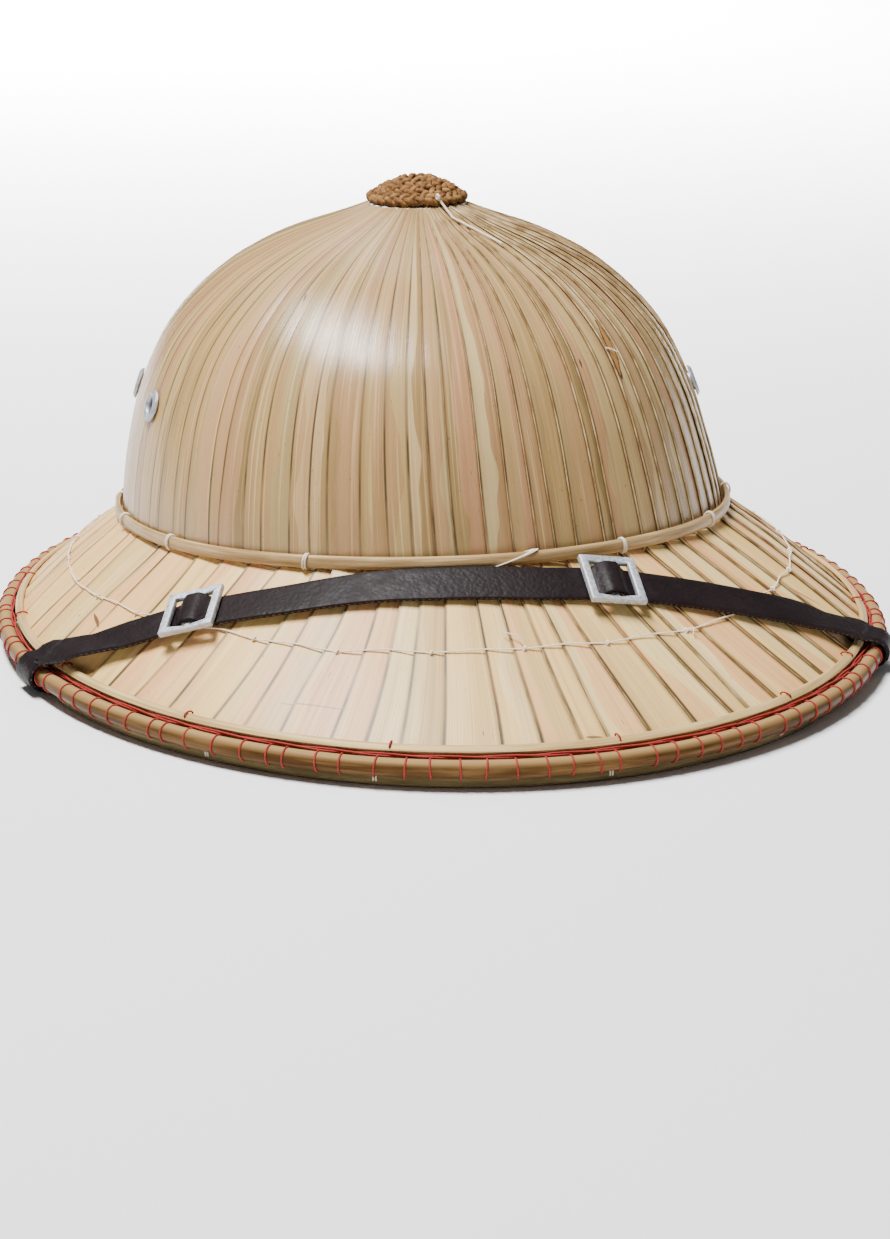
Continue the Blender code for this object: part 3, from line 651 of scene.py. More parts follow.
def new_hoop(name, segments, corners, place):
    """A closed ring, whose section's corners are laid by place(angle, corner)."""
    bpy.ops.object.select_all(action="DESELECT")
    bpy.ops.mesh.primitive_torus_add(
        major_segments=segments, minor_segments=len(corners), major_radius=1.0, minor_radius=0.2,
        generate_uvs=True,
    )
    hoop = bpy.context.object
    hoop.name = name
    ring = np.arange(segments * len(corners)) // len(corners)
    angle = 2 * math.pi * ring / segments
    points = np.zeros((len(ring), 3))
    for k, corner in enumerate(corners):
        points[k :: len(corners)] = place(angle[k :: len(corners)], corner)
    move_points(hoop, points)
    set_attribute(hoop, "way_round", angle / (2 * math.pi))
    bpy.ops.object.mode_set(mode="EDIT")
    bpy.ops.mesh.select_all(action="SELECT")
    bpy.ops.mesh.normals_make_consistent(inside=False)
    bpy.ops.object.mode_set(mode="OBJECT")
    return hoop


def cane_finish(name, dark, middle, light, roughness, gloss=0.5, painted_top_highlight=None):
    """Cane: long fine streaks round the hoop, slow changes of tone, and, where one is given, a painted
    highlight along its top.
    """
    material, tree, shader = finish_of(name, roughness)
    place = add_node(tree, "ShaderNodeTexCoord").outputs["Object"]
    way = add_node(tree, "ShaderNodeUVMap", uv_map="UVMap").outputs["UV"]
    turns = add_node(tree, "ShaderNodeMapping", {0: way, "Scale": (30.0, 9.0, 1.0)}).outputs[0]
    grain = noise(tree, turns, scale=1.0, detail=5.0, roughness=0.6)
    slow = noise(tree, place, scale=28.0, detail=2.0)
    color = ramp(tree, grain, ((0.30, dark), (0.50, middle), (0.68, light)))
    color = mix(tree, spread(tree, slow, 0.4, 0.7, 0.0, 0.45), color, dark)
    # Painted highlight: above a given height the cane is made paler, as if lit from above.
    if painted_top_highlight:
        high = add_node(tree, "ShaderNodeSeparateXYZ", {0: place}).outputs["Z"]
        color = mix(tree, spread(tree, high, *painted_top_highlight[0]), color, painted_top_highlight[1])
    tree.links.new(color, shader.inputs["Base Color"])
    shader.inputs["Specular IOR Level"].default_value = gloss
    shader.inputs["Specular Tint"].default_value = (*light, 1.0)
    bump = add_node(tree, "ShaderNodeBump", {"Height": grain, "Strength": 0.3, "Distance": 0.0002})
    tree.links.new(bump.outputs["Normal"], shader.inputs["Normal"])
    return material


def band_corner(angle, corner):
    """A corner of the crown cane's section, which wavers a little off the leaf."""
    out, up = corner
    loose = band_looseness * (1 + np.sin(7 * angle + 1.3))
    reach = leaf_gap + loose + out * (band_cane_thickness - 2 * band_looseness)
    height = band_height(angle) + up * band_cane_height
    return oval(angle, crown_length / 2 + reach, crown_width / 2 + reach, height, crown_aside, crown_back)


band_section = (
    (0.0, 0.02), (0.55, 0.0), (0.85, 0.08), (1.0, 0.3), (1.0, 0.6), (0.9, 0.82), (0.68, 0.97),
    (0.45, 1.0), (0.1, 0.99), (0.0, 0.9), (0.0, 0.5),
)
crown_cane = new_hoop("crown_cane", 240, band_section, band_corner)
smooth_shade(crown_cane, 50)
crown_cane.data.materials.append(
    cane_finish("crown_cane", (0.22, 0.13, 0.05), (0.40, 0.26, 0.12), (0.60, 0.44, 0.23), 0.42)
)
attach(crown_cane, "root")
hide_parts("crown_band")

# Canes of the rim. A flat pale cane lies on the brim's edge, a round glossy one lies outside it, and
# a darker one underneath carries the hat. All are bound together by the red lashing.
top_cane_width = 0.0031
top_cane_thickness = 0.0015
rim_cane_height = 0.0064
under_cane_inset = 0.0045
under_cane_width = 0.0044
under_cane_height = 0.0033
under_cane_thinned = 0.0029
rim_joint_height = 0.00012
thread_bite = 0.0001
strap_wraps = (-74.0, 66.0)
strap_wrap_width = 0.012


def rim_window(angle):
    """1 where the strap passes under the rim, 0 elsewhere."""
    near = np.zeros_like(angle)
    for wrap in strap_wraps:
        away = np.abs((angle - math.radians(wrap) + math.pi) % (2 * math.pi) - math.pi)
        near = np.maximum(near, np.clip(2.0 - away / (0.9 * strap_wrap_width / (rim_width / 2)), 0, 1))
    return near


def top_cane_corner(angle, corner):
    """A corner of the flat cane's section on the brim's edge."""
    across, up = corner
    edge = brim_surface(angle, 1.0)
    inward = brim_surface(angle, 0.95) - edge
    inward /= np.linalg.norm(inward, axis=-1, keepdims=True)
    normal = surface_normal(brim_surface, angle, 1.0)
    return edge + inward * across * top_cane_width + normal * (leaf_gap + up * top_cane_thickness)


def rim_cane_corner(angle, turn):
    """A point round the glossy cane's section, with its shallow joints."""
    joints = rim_joint_height * np.exp(-((((angle * 180 / math.pi + 13) % 51) - 25) / 0.8) ** 2)
    reach = rim_cane_radius - thread_bite + joints
    out, up = reach * math.cos(turn), reach * math.sin(turn)
    return oval(
        angle, rim_length / 2 - rim_cane_radius + out, rim_width / 2 - rim_cane_radius + out,
        rim_cane_height + up,
    )


def under_cane_corner(angle, corner):
    """A corner of the lower cane's section, thinned over the strap."""
    across, up = corner
    inset = under_cane_inset + across * under_cane_width
    height = np.maximum(up * under_cane_height, under_cane_thinned * rim_window(angle))
    return oval(angle, rim_length / 2 - inset, rim_width / 2 - inset, height)


top_section = (
    (0.08, 0.0), (0.5, 0.0), (0.95, 0.0), (1.05, 0.25), (1.03, 0.7), (0.9, 0.92), (0.6, 1.0),
    (0.3, 1.0), (0.12, 0.88), (0.05, 0.5),
)
rim_top_cane = new_hoop("rim_flat_cane", 256, top_section, top_cane_corner)
smooth_shade(rim_top_cane, 50)
rim_top_cane.data.materials.append(
    cane_finish("flat_cane", (0.34, 0.21, 0.08), (0.52, 0.36, 0.15), (0.70, 0.52, 0.26), 0.4)
)
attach(rim_top_cane, "root")
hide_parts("rim_top_cane")

round_section = [2 * math.pi * k / 18 for k in range(18)]
rim_round_cane = new_hoop("rim_round_cane", 256, round_section, rim_cane_corner)
smooth_shade(rim_round_cane, 60)
# The glossy cane's top, from 7.4 to 9 mm up, is painted paler as a highlight.
rim_round_cane.data.materials.append(
    cane_finish(
        "glossy_cane", (0.045, 0.02, 0.007), (0.10, 0.05, 0.017), (0.20, 0.11, 0.042), 0.36, 0.12,
        ((0.0074, 0.0090, 0.0, 0.7), (0.40, 0.25, 0.10)),
    )
)
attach(rim_round_cane, "root")
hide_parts("rim_hoop")

under_section = (
    (1.0, 0.0), (0.5, 0.0), (0.1, 0.0), (0.0, 0.12), (-0.03, 0.5), (0.0, 0.95), (0.3, 1.28),
    (0.75, 1.45), (1.0, 1.15), (1.08, 0.8), (1.05, 0.3),
)
rim_under_cane = new_hoop("rim_lower_cane", 256, under_section, under_cane_corner)
smooth_shade(rim_under_cane, 50)
rim_under_cane.data.materials.append(
    cane_finish("lower_cane", (0.085, 0.062, 0.026), (0.17, 0.125, 0.055), (0.28, 0.21, 0.10), 0.45)
)
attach(rim_under_cane, "root")
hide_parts("rim_under_hoop")

# Lashing of the rim. A red thread runs in the groove between the flat and the round cane, loops
# round the glossy cane every nine millimetres, and now and then crosses the flat cane as well.
red_thread_radius = 0.0003
lashings = 112
lashing_radius = rim_cane_radius + thread_bite
flat_tie_place = 0.972
flat_tie_half_width = 0.0019
flat_tie_half_height = 0.0010
groove_inset = 0.0051
groove_height = 0.0094
groove_twists = 26
strand_spread = 0.0004
strand_rise = 0.0003
strand_waver = 0.00012
flat_cane_ties = (
    -106.0, -89.0, -67.5, -43.8, -17.5, 10.0, 36.8, 55.0, 78.0, 101.0, 126.0, 152.0, 178.0, 204.0, 229.0,
)


def thread_finish(name, color, dark):
    """Spun thread: twisted plies, a little dirt, no gloss."""
    material, tree, shader = finish_of(name, 0.75)
    place = add_node(tree, "ShaderNodeTexCoord").outputs["Object"]
    ply = noise(tree, place, scale=1400.0, detail=2.0)
    dirt = noise(tree, place, scale=90.0, detail=2.0)
    tone = mix(tree, spread(tree, ply, 0.35, 0.65, 0.0, 0.6), color, dark)
    tone = mix(tree, spread(tree, dirt, 0.5, 0.75, 0.0, 0.4), tone, dark)
    tree.links.new(tone, shader.inputs["Base Color"])
    bump = add_node(tree, "ShaderNodeBump", {"Height": ply, "Strength": 0.5, "Distance": 0.0002})
    tree.links.new(bump.outputs["Normal"], shader.inputs["Normal"])
    return material


def thread_ring(name, half_out, half_up, radius, segments=16, sides=5):
    """One turn of thread, an oval ring in its own X and Z, ready to be placed."""
    bpy.ops.object.select_all(action="DESELECT")
    bpy.ops.mesh.primitive_torus_add(
        major_segments=segments, minor_segments=sides, major_radius=1.0, minor_radius=0.1,
        rotation=(math.pi / 2, 0, 0),
    )
    ring = bpy.context.object
    ring.name = name
    bpy.ops.object.transform_apply(location=True, rotation=True, scale=True)
    points = mesh_points(ring)
    turn = np.arctan2(points[:, 2], points[:, 0])
    from_middle = np.hypot(points[:, 0], points[:, 2]) - 1.0
    thick = radius / 0.1
    points[:, 0] = (half_out + from_middle * thick) * np.cos(turn)
    points[:, 2] = (half_up + from_middle * thick) * np.sin(turn)
    points[:, 1] *= thick
    move_points(ring, points)
    return ring


def place_ring(ring, middle, out, up, shift=0.0, slant=0.0):
    """Puts a turn of thread round a cane: its axis lies along the cane."""
    out, up = np.asarray(out, float), np.asarray(up, float)
    out = out / np.linalg.norm(out)
    side = np.cross(up, out)
    side /= np.linalg.norm(side)
    up = np.cross(out, side)
    points = mesh_points(ring)
    along = points[:, 1] + shift + slant * points[:, 2]
    laid = middle + points[:, :1] * out + along[:, None] * side + points[:, 2:] * up
    move_points(ring, laid)


def rim_point(angle, inset, height):
    """A point near the rim, by how far it lies inside the hat's outline."""
    return oval(np.asarray(angle, float), rim_length / 2 - inset, rim_width / 2 - inset, height)


def rim_outward(angle):
    """The level way out of the rim."""
    way = np.array((math.sin(angle) / rim_width, -math.cos(angle) / rim_length, 0.0))
    return way / np.linalg.norm(way)


upright = np.array((0.0, 0.0, 1.0))
red_finish = thread_finish("red_thread", (0.36, 0.013, 0.009), (0.17, 0.006, 0.004))
chance = np.random.default_rng(31)
one_turn = thread_ring("red_lashing", lashing_radius, lashing_radius, red_thread_radius, 18)
red_pieces = []
for number in range(lashings):
    angle = 2 * math.pi * (number + 0.22 * chance.uniform(-1, 1)) / lashings
    turn_piece = copy_of(one_turn)
    middle = rim_point(angle, rim_cane_radius, rim_cane_height)
    place_ring(turn_piece, middle, rim_outward(angle), upright, slant=chance.uniform(-0.12, 0.12))
    red_pieces.append(turn_piece)
bpy.data.objects.remove(one_turn)
for degrees in flat_cane_ties:
    angle = math.radians(degrees)
    tie = thread_ring("red_tie", flat_tie_half_width, flat_tie_half_height, red_thread_radius)
    middle = on_brim(angle, flat_tie_place, flat_tie_half_height)
    place_ring(tie, middle, rim_outward(angle), upright, slant=chance.uniform(-0.3, 0.3))
    red_pieces.append(tie)
for strand in (0.0, math.pi):

    def groove_corner(angle, turn):
        """A point of a strand that runs in the groove and twists round its fellow."""
        twist = angle * groove_twists + strand
        waver = strand_waver * np.sin(angle * 41 + strand)
        inset = groove_inset + strand_spread * np.cos(twist) + red_thread_radius * math.cos(turn) + waver
        height = groove_height + strand_rise * np.sin(twist) + red_thread_radius * math.sin(turn)
        return rim_point(angle, inset, height)

    strand_turns = [2 * math.pi * k / 6 for k in range(6)]
    red_pieces.append(new_hoop("red_running", 256, strand_turns, groove_corner))
red_lashing = join_pieces(red_pieces, "red_lashing")
smooth_shade(red_lashing, 80)
red_lashing.data.materials.clear()
red_lashing.data.materials.append(red_finish)
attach(red_lashing, "root")

# White ties. Doubled white thread holds the crown's cane to the leaf and the lower cane to the rim,
# with one long slanting stitch in front, where the thread was carried on.
white_thread_radius = 0.00034
tie_half_gap = 0.0004
crown_tie_clearance = 0.0006
long_stitch = 4.2
long_stitch_slant = 3.0
lower_tie_clearance = 0.0003
lower_tie_middle = 0.0024
lower_tie_half_height = 0.00195
crown_cane_ties = (
    -84.0, -62.5, -31.5, 4.2, 26.0, 53.5, 80.0, 106.0, 132.0, 158.0, 184.0, 210.0, 236.0, 258.0,
)
lower_cane_ties = (
    -66.0, -40.2, -19.2, 8.5, 34.0, 58.0, 84.0, 110.0, 136.0, 162.0, 188.0, 214.0, 240.0, 266.0,
)


def crown_outward(angle):
    """The level way out of the crown's foot."""
    way = np.array((math.sin(angle) / crown_width, -math.cos(angle) / crown_length, 0.0))
    return way / np.linalg.norm(way)


white_finish = thread_finish("white_thread", (0.80, 0.72, 0.60), (0.58, 0.46, 0.33))
white_pieces = []
for degrees in crown_cane_ties:
    angle = math.radians(degrees)
    height = band_height(angle) + band_cane_height / 2
    reach = band_cane_thickness / 2
    middle = oval(angle, crown_length / 2 + reach, crown_width / 2 + reach, height, crown_aside, crown_back)
    slant = chance.uniform(-0.15, 0.15) if degrees != long_stitch else long_stitch_slant
    for shift in (-tie_half_gap, tie_half_gap):
        half_height = band_cane_height / 2 + tie_half_gap
        tie = thread_ring("white_tie", reach + crown_tie_clearance, half_height, white_thread_radius)
        place_ring(tie, middle, crown_outward(angle), upright, shift, slant + chance.uniform(-0.05, 0.05))
        white_pieces.append(tie)
for degrees in lower_cane_ties:
    angle = math.radians(degrees)
    middle = rim_point(angle, under_cane_inset + under_cane_width / 2, lower_tie_middle)
    for shift in (-tie_half_gap, tie_half_gap):
        half_width = under_cane_width / 2 + lower_tie_clearance
        tie = thread_ring("white_tie", half_width, lower_tie_half_height, white_thread_radius * 0.9)
        place_ring(tie, middle, rim_outward(angle), upright, shift, chance.uniform(-0.1, 0.1))
        white_pieces.append(tie)
white_ties = join_pieces(white_pieces, "white_ties")
smooth_shade(white_ties, 80)
white_ties.data.materials.append(white_finish)
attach(white_ties, "root")

# Basting thread. A white thread in long stitches holds the two layers of the brim together, half way
# out. Each stitch lies loosely on the leaf and goes down through it at a small knot. One more stitch of
# it holds the slit in the crown together.
basting_radius = 0.00025
basting_lift = 0.00055
basting_sink = 0.0001
knot_half_width = 0.0007
knot_half_height = 0.0006
thread_lift = 0.0007
basting_knots = (
    # angle, place on the brim
    (-82.2, 0.520), (-72.5, 0.500), (-60.8, 0.489), (-49.0, 0.470), (-37.7, 0.471), (-24.8, 0.492),
    (-11.4, 0.478), (1.9, 0.473), (14.4, 0.488), (28.1, 0.504), (41.8, 0.494), (53.1, 0.480),
    (64.5, 0.478), (75.3, 0.473), (85.9, 0.465), (98.0, 0.470), (110.0, 0.480), (122.0, 0.470),
    (134.0, 0.490), (146.0, 0.480), (158.0, 0.470), (170.0, 0.480), (182.0, 0.490), (194.0, 0.480),
    (206.0, 0.470), (218.0, 0.480), (230.0, 0.490), (242.0, 0.480), (254.0, 0.500), (266.0, 0.510),
)


def thread_along(name, points, radius, closed=False):
    """A thread through points, as a mesh."""
    line = bpy.data.curves.new(name, "CURVE")
    line.dimensions = "3D"
    line.bevel_depth = radius
    line.bevel_resolution = 1
    line.use_fill_caps = True
    spline = line.splines.new("POLY")
    spline.points.add(len(points) - 1)
    spline.use_cyclic_u = closed
    for point, place in zip(spline.points, points):
        point.co = (*place, 1.0)
    thread = bpy.data.objects.new(name, line)
    bpy.context.scene.collection.objects.link(thread)
    bpy.ops.object.select_all(action="DESELECT")
    thread.select_set(True)
    bpy.context.view_layer.objects.active = thread
    bpy.ops.object.convert(target="MESH")
    thread = bpy.context.object
    bpy.ops.object.mode_set(mode="EDIT")
    bpy.ops.mesh.select_all(action="SELECT")
    bpy.ops.mesh.remove_doubles(threshold=0.00001)
    bpy.ops.mesh.normals_make_consistent(inside=False)
    bpy.ops.object.mode_set(mode="OBJECT")
    return thread


def over_crown(places):
    """Points just over the crown's leaf, by their angles and shares of its height."""
    return [on_crown(math.radians(degrees), share, np.array(thread_lift)) for degrees, share in places]


basting_points = []
knots = list(basting_knots) + [(basting_knots[0][0] + 360.0, basting_knots[0][1])]
for (start, first), (end, last) in zip(knots, knots[1:]):
    sway = chance.uniform(-0.012, 0.012)
    for t in np.linspace(0.0, 1.0, 12)[:-1]:
        angle = math.radians(start + (end - start) * t)
        place = first + (last - first) * t + sway * math.sin(math.pi * t) + 0.004 * math.sin(3 * math.pi * t)
        lift = basting_lift * min(1.0, 8 * t, 8 * (1 - t)) - basting_sink
        basting_points.append(on_brim(angle, place, lift))
basting_pieces = [thread_along("basting", basting_points, basting_radius, closed=True)]
for degrees, place in basting_knots:
    angle = math.radians(degrees)
    loop = thread_ring("basting_knot", knot_half_width, knot_half_height, basting_radius * 1.15, 10)
    place_ring(loop, on_brim(angle, place, basting_sink), crown_outward(angle), upright, slant=0.5)
    basting_pieces.append(loop)
loose_ends = (
    # angle, place, and the same at its free end
    (1.9, 0.473, -0.4, 0.40),
    (28.1, 0.504, 29.0, 0.55),
)
for start, first, end, last in loose_ends:
    tail = []
    for t in np.linspace(0.0, 1.0, 8):
        angle = math.radians(start + (end - start) * t + 0.5 * math.sin(4 * t))
        tail.append(on_brim(angle, first + (last - first) * t, 0.0004 + 0.0012 * math.sin(2.5 * t)))
    basting_pieces.append(thread_along("basting_end", tail, basting_radius * 0.8))
slit_stitch = over_crown(((36.2, 0.612), (37.8, 0.605), (39.2, 0.594)))
basting_pieces.append(thread_along("slit_stitch", slit_stitch, basting_radius))
basting = join_pieces(basting_pieces, "basting_thread")
smooth_shade(basting, 80)
basting.data.materials.clear()
basting.data.materials.append(thread_finish("basting_thread", (0.86, 0.76, 0.64), (0.66, 0.50, 0.37)))
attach(basting, "root")

# Chin strap. One strap of dark leatherette lies over the front of the brim, bends round the rim on
# both sides and is sewn up inside the crown. Small stitches run along its lower edge.
strap_width = 0.012
strap_thickness = 0.0014
strap_gap = 0.0003
strap_tail = 0.024
strap_run = (
    # angle, place (0 at the crown, 1 at the brim's edge), lift, roll
    (-71.0, 1.00, 0.02, 0.0),
    (-69.0, 0.95, 0.10, 0.0),
    (-64.0, 0.82, 0.20, 4.0),
    (-58.0, 0.64, 0.16, 6.0),
    (-48.5, 0.416, 0.06, 6.0),
    (-36.0, 0.262, 0.08, 5.0),
    (-20.0, 0.135, 0.08, 0.0),
    (-4.0, 0.115, 0.08, -4.0),
    (9.0, 0.152, 0.08, -4.0),
    (19.3, 0.196, 0.06, -2.0),
    (32.0, 0.324, 0.05, 0.0),
    (44.5, 0.512, 0.05, 0.0),
    (54.0, 0.703, 0.06, 0.0),
    (60.0, 0.894, 0.02, 0.0),
    (63.0, 1.00, 0.00, 0.0),
)
strap_hidden = (
    # turn, place: 1 to 2 round the rim, 2 to 3 under the brim, 3 to 4 up inside the crown
    (3.0, 2.00),
    (7.5, 2.35),
    (10.5, 2.70),
    (11.5, 3.00),
    (11.5, 3.50),
    (11.5, 4.00),
)
strap_buckles = (-48.5, 19.3)
buckle_length = 0.0186
buckle_bar = 0.0026
buckle_thickness = 0.0021
buckle_seat = 0.0007
bar_half_width = 0.001
bar_thickness = 0.0011
bar_slope_end = 0.0016
bed_radius = 0.0033
bed_height = 0.0070
bed_foot = 0.0012
cane_and_lashing = 0.0031
lashing_allowance = 0.0011
lining_allowance = 0.0009
stitch_half_length = 0.0006
stitch_half_width = 0.00016
stitch_pitch = 0.0019
stitch_bite = 0.00008


def strap_beds(angles):
    """The lines the strap's middle may follow at some angles: points, places and lengths."""
    rest = strap_gap + strap_thickness / 2
    raised = rest + cane_and_lashing
    slope = np.linalg.norm(brim_surface(angles, 1.0) - brim_surface(angles, 0.0), axis=-1)
    over_cane = 1.0 - 1.3 * top_cane_width / slope
    points, places = [], []
    for share in np.linspace(-0.15, 0.75, 7):
        points.append(brim_surface(angles, share) + rest * surface_normal(brim_surface, angles, share))
        places.append(np.full(len(angles), share))
    for share in (over_cane, np.full(len(angles), 0.99)):
        points.append(brim_surface(angles, share) + raised * surface_normal(brim_surface, angles, share))
        places.append(share)
    reach = bed_radius + lashing_allowance + strap_thickness / 2
    for i, degrees in enumerate((60, 30, 0, -30, -60)):
        out = reach * math.cos(math.radians(degrees))
        up = reach * math.sin(math.radians(degrees))
        points.append(rim_point(angles, bed_radius - out, bed_height + up))
        places.append(np.full(len(angles), 1.1 + 0.16 * i))
    inner = bed_foot + 1.1 * under_cane_width + 1.5 * lashing_allowance
    for inset, place in ((bed_foot, 1.9), (inner, 2.0)):
        points.append(rim_point(angles, bed_radius + inset, rest))
        places.append(np.full(len(angles), place))
    under = -lining_depth - leaf_step - lining_allowance - strap_thickness / 2
    drop = upright * (lining_allowance + strap_thickness)
    for out, place in ((0.0, 2.9), (under, 3.0)):
        points.append(on_crown(angles, dome_heights[0], np.full(len(angles), out)) - drop)
        places.append(np.full(len(angles), place))
    tail = strap_tail / (crown_top - band_middle)
    for share, place in ((0.0, 3.3), (tail / 2, 3.65), (tail, 4.0)):
        points.append(on_crown(angles, share, np.full(len(angles), under)))
        places.append(np.full(len(angles), place))
    points, places = np.stack(points, axis=1), np.stack(places, axis=1)
    lengths = np.cumsum(np.linalg.norm(np.diff(points, axis=1), axis=2), axis=1)
    lengths = np.concatenate([np.zeros((len(angles), 1)), lengths], axis=1)
    outermost = np.argmax(np.hypot(points[..., 0], points[..., 1]), axis=1)
    lengths -= lengths[np.arange(len(angles)), outermost][:, None]
    return points, places, lengths


bed_angles = np.radians(np.arange(-95.0, 91.0, 1.0))
bed_points, bed_places, bed_lengths = strap_beds(bed_angles)


def bed_mix(angle):
    """The two beds beside an angle, and the share of the second."""
    where = np.clip((angle - bed_angles[0]) / (bed_angles[1] - bed_angles[0]), 0, len(bed_angles) - 1.001)
    return int(where), where - int(where)


def bed_point(angle, length):
    """The point of a bed at a distance from its outermost one."""
    i, share = bed_mix(angle)
    pair = [
        np.array([np.interp(length, bed_lengths[k], bed_points[k, :, axis]) for axis in range(3)])
        for k in (i, i + 1)
    ]
    return pair[0] * (1 - share) + pair[1] * share


def bed_length_at(angle, place):
    """The distance along a bed of a place on it."""
    i, share = bed_mix(angle)
    pair = [np.interp(place, bed_places[k], bed_lengths[k]) for k in (i, i + 1)]
    return pair[0] * (1 - share) + pair[1] * share


def unit(vector):
    """The vector at length 1."""
    return vector / np.linalg.norm(vector)


table = [(strap_run[0][0] - turn, place, 0.0, 0.0) for turn, place in reversed(strap_hidden)]
table += list(strap_run)
table += [(strap_run[-1][0] + turn, place, 0.0, 0.0) for turn, place in strap_hidden]
strap_rows = []
last_point = None
for degrees, place, lift, roll in table:
    angle = math.radians(degrees)
    length = bed_length_at(angle, place)
    point = bed_point(angle, length)
    run = 0.0 if last_point is None else run + max(np.linalg.norm(point - last_point), 0.001)
    last_point = point
    strap_rows.append((run, angle, length, lift * strap_width, math.radians(roll)))
strap_rows = np.array(strap_rows)


def strap_at(run):
    """Angle, bed length, lift and roll at a run along the strap."""
    return [float(smooth_curve(strap_rows[:, 0], strap_rows[:, k], run)) for k in (1, 2, 3, 4)]


def bed_ways(angle, length):
    """The ways round the hat and down the bed at a point of it, and the way out of it."""
    turn, reach = 0.01, 0.0015
    round_way = (bed_point(angle + turn, length) - bed_point(angle - turn, length)) / (2 * turn)
    down_way = (bed_point(angle, length + reach) - bed_point(angle, length - reach)) / (2 * reach)
    return round_way, down_way, unit(np.cross(down_way, round_way))


def strap_section(run, sides, up):
    """Points across the strap at a run, up out of its middle."""
    angle, length, lift, roll = strap_at(run)
    before = bed_point(*strap_at(max(run - 0.0008, 0.0))[:2])
    after = bed_point(*strap_at(min(run + 0.0008, strap_rows[-1, 0]))[:2])
    round_way, down_way, out = bed_ways(angle, length)
    across = unit(np.cross(out, unit(after - before)))
    shares = np.linalg.lstsq(np.stack([round_way, down_way], axis=1), across, rcond=None)[0]
    outward = 1 if shares[1] > 0 else -1
    points = []
    for side in sides:
        at = (angle + shares[0] * side, length + shares[1] * side)
        here_out = bed_ways(*at)[2]
        rolled = unit(here_out * math.cos(roll) - across * outward * math.sin(roll))
        points.append(bed_point(*at) + here_out * (lift + outward * side * math.sin(roll)) + rolled * up)
    return np.array(points), outward


buckle_runs = []
search = np.linspace(0.0, strap_rows[-1, 0], 800)
search_angles = [strap_at(run)[0] for run in search]
for degrees in strap_buckles:
    buckle_runs.append(float(np.interp(math.radians(degrees), search_angles, search)))


def bar_rise(run):
    """How far the strap rises at a run to pass over a buckle's centre bar."""
    top = buckle_seat + bar_thickness + strap_gap + strap_thickness
    foot = buckle_length / 2 - buckle_bar - strap_gap
    rise = 0.0
    for middle in buckle_runs:
        t = min(max((foot - abs(run - middle)) / (foot - bar_slope_end), 0.0), 1.0)
        rise = max(rise, top * t * t * (3 - 2 * t))
    return rise


strap_stations = np.linspace(0.0, strap_rows[-1, 0], 420)
strap_columns = 8
strap_sides = np.linspace(-strap_width / 2, strap_width / 2, strap_columns + 1)
strap_points = []
for run in strap_stations:
    points, outward = strap_section(run, strap_sides, bar_rise(run) + strap_thickness / 2)
    strap_points.append(points)
strap = flat_grid("chin_strap_leather", strap_columns, len(strap_stations) - 1)
order = mesh_points(strap)
column = np.rint(order[:, 0] * strap_columns).astype(int)
row = np.rint(order[:, 1] * (len(strap_stations) - 1)).astype(int)
move_points(strap, np.array(strap_points)[row, column])
set_attribute(strap, "across", order[:, 0])
apply_modifier(strap, "wall", "SOLIDIFY", thickness=strap_thickness, offset=1.0, use_even_offset=False)
apply_modifier(
    strap, "edge", "BEVEL", width=0.0003, segments=2, limit_method="ANGLE", angle_limit=math.radians(50)
)
smooth_shade(strap, 40)


def leather_finish():
    """Dark leatherette: pebbled, fine creases, worn a little paler and rougher on its high places."""
    material, tree, shader = finish_of("strap_leather", 0.5)
    place = add_node(tree, "ShaderNodeTexCoord").outputs["Object"]
    pebbles = add_node(
        tree, "ShaderNodeTexVoronoi", {"Vector": place, "Scale": 900.0}, feature="SMOOTH_F1"
    ).outputs["Distance"]
    crease = noise(tree, place, scale=260.0, detail=4.0, roughness=0.7)
    cloud = noise(tree, place, scale=40.0, detail=3.0)
    color = ramp(tree, cloud, ((0.3, (0.006, 0.0032, 0.0038)), (0.7, (0.011, 0.006, 0.0072))))
    color = mix(tree, spread(tree, crease, 0.55, 0.8, 0.0, 0.35), color, (0.025, 0.016, 0.017))
    tree.links.new(color, shader.inputs["Base Color"])
    rough = spread(tree, crease, 0.3, 0.7, 0.44, 0.62)
    tree.links.new(rough, shader.inputs["Roughness"])
    shader.inputs["Specular IOR Level"].default_value = 0.14
    height = calculate(tree, "MULTIPLY", pebbles, 0.6)
    height = calculate(tree, "ADD", height, crease)
    bump = add_node(tree, "ShaderNodeBump", {"Height": height, "Strength": 0.55, "Distance": 0.0004})
    tree.links.new(bump.outputs["Normal"], shader.inputs["Normal"])
    return material


strap.data.materials.append(leather_finish())
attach(strap, "root")
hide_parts("chin_strap")

stitch_pieces = []
bpy.ops.object.select_all(action="DESELECT")
bpy.ops.mesh.primitive_uv_sphere_add(segments=6, ring_count=4, radius=1.0)
one_stitch = bpy.context.object
stitch_shape = mesh_points(one_stitch) * (stitch_half_length, stitch_half_width, stitch_half_width)
stitch_runs = np.arange(0.004, strap_rows[-1, 0] - 0.003, stitch_pitch)
strap_edges = (-strap_width / 2, strap_width / 2)
for run in stitch_runs:
    if min(abs(run - middle) for middle in buckle_runs) < buckle_length / 2 + 0.001:
        continue
    edge, outward = strap_section(run, strap_edges, bar_rise(run) - strap_thickness * 0.15)
    ahead = strap_section(run + 0.001, strap_edges, -strap_thickness * 0.15)[0]
    side = 1 if outward > 0 else 0
    along = unit(ahead[side] - edge[side])
    beside = unit(edge[side] - edge[1 - side])
    out = unit(np.cross(along, beside))
    stitch = copy_of(one_stitch)
    middle = edge[side] - beside * stitch_bite
    move_points(stitch, middle + stitch_shape @ np.stack([along, beside, out]))
    stitch_pieces.append(stitch)
bpy.data.objects.remove(one_stitch)
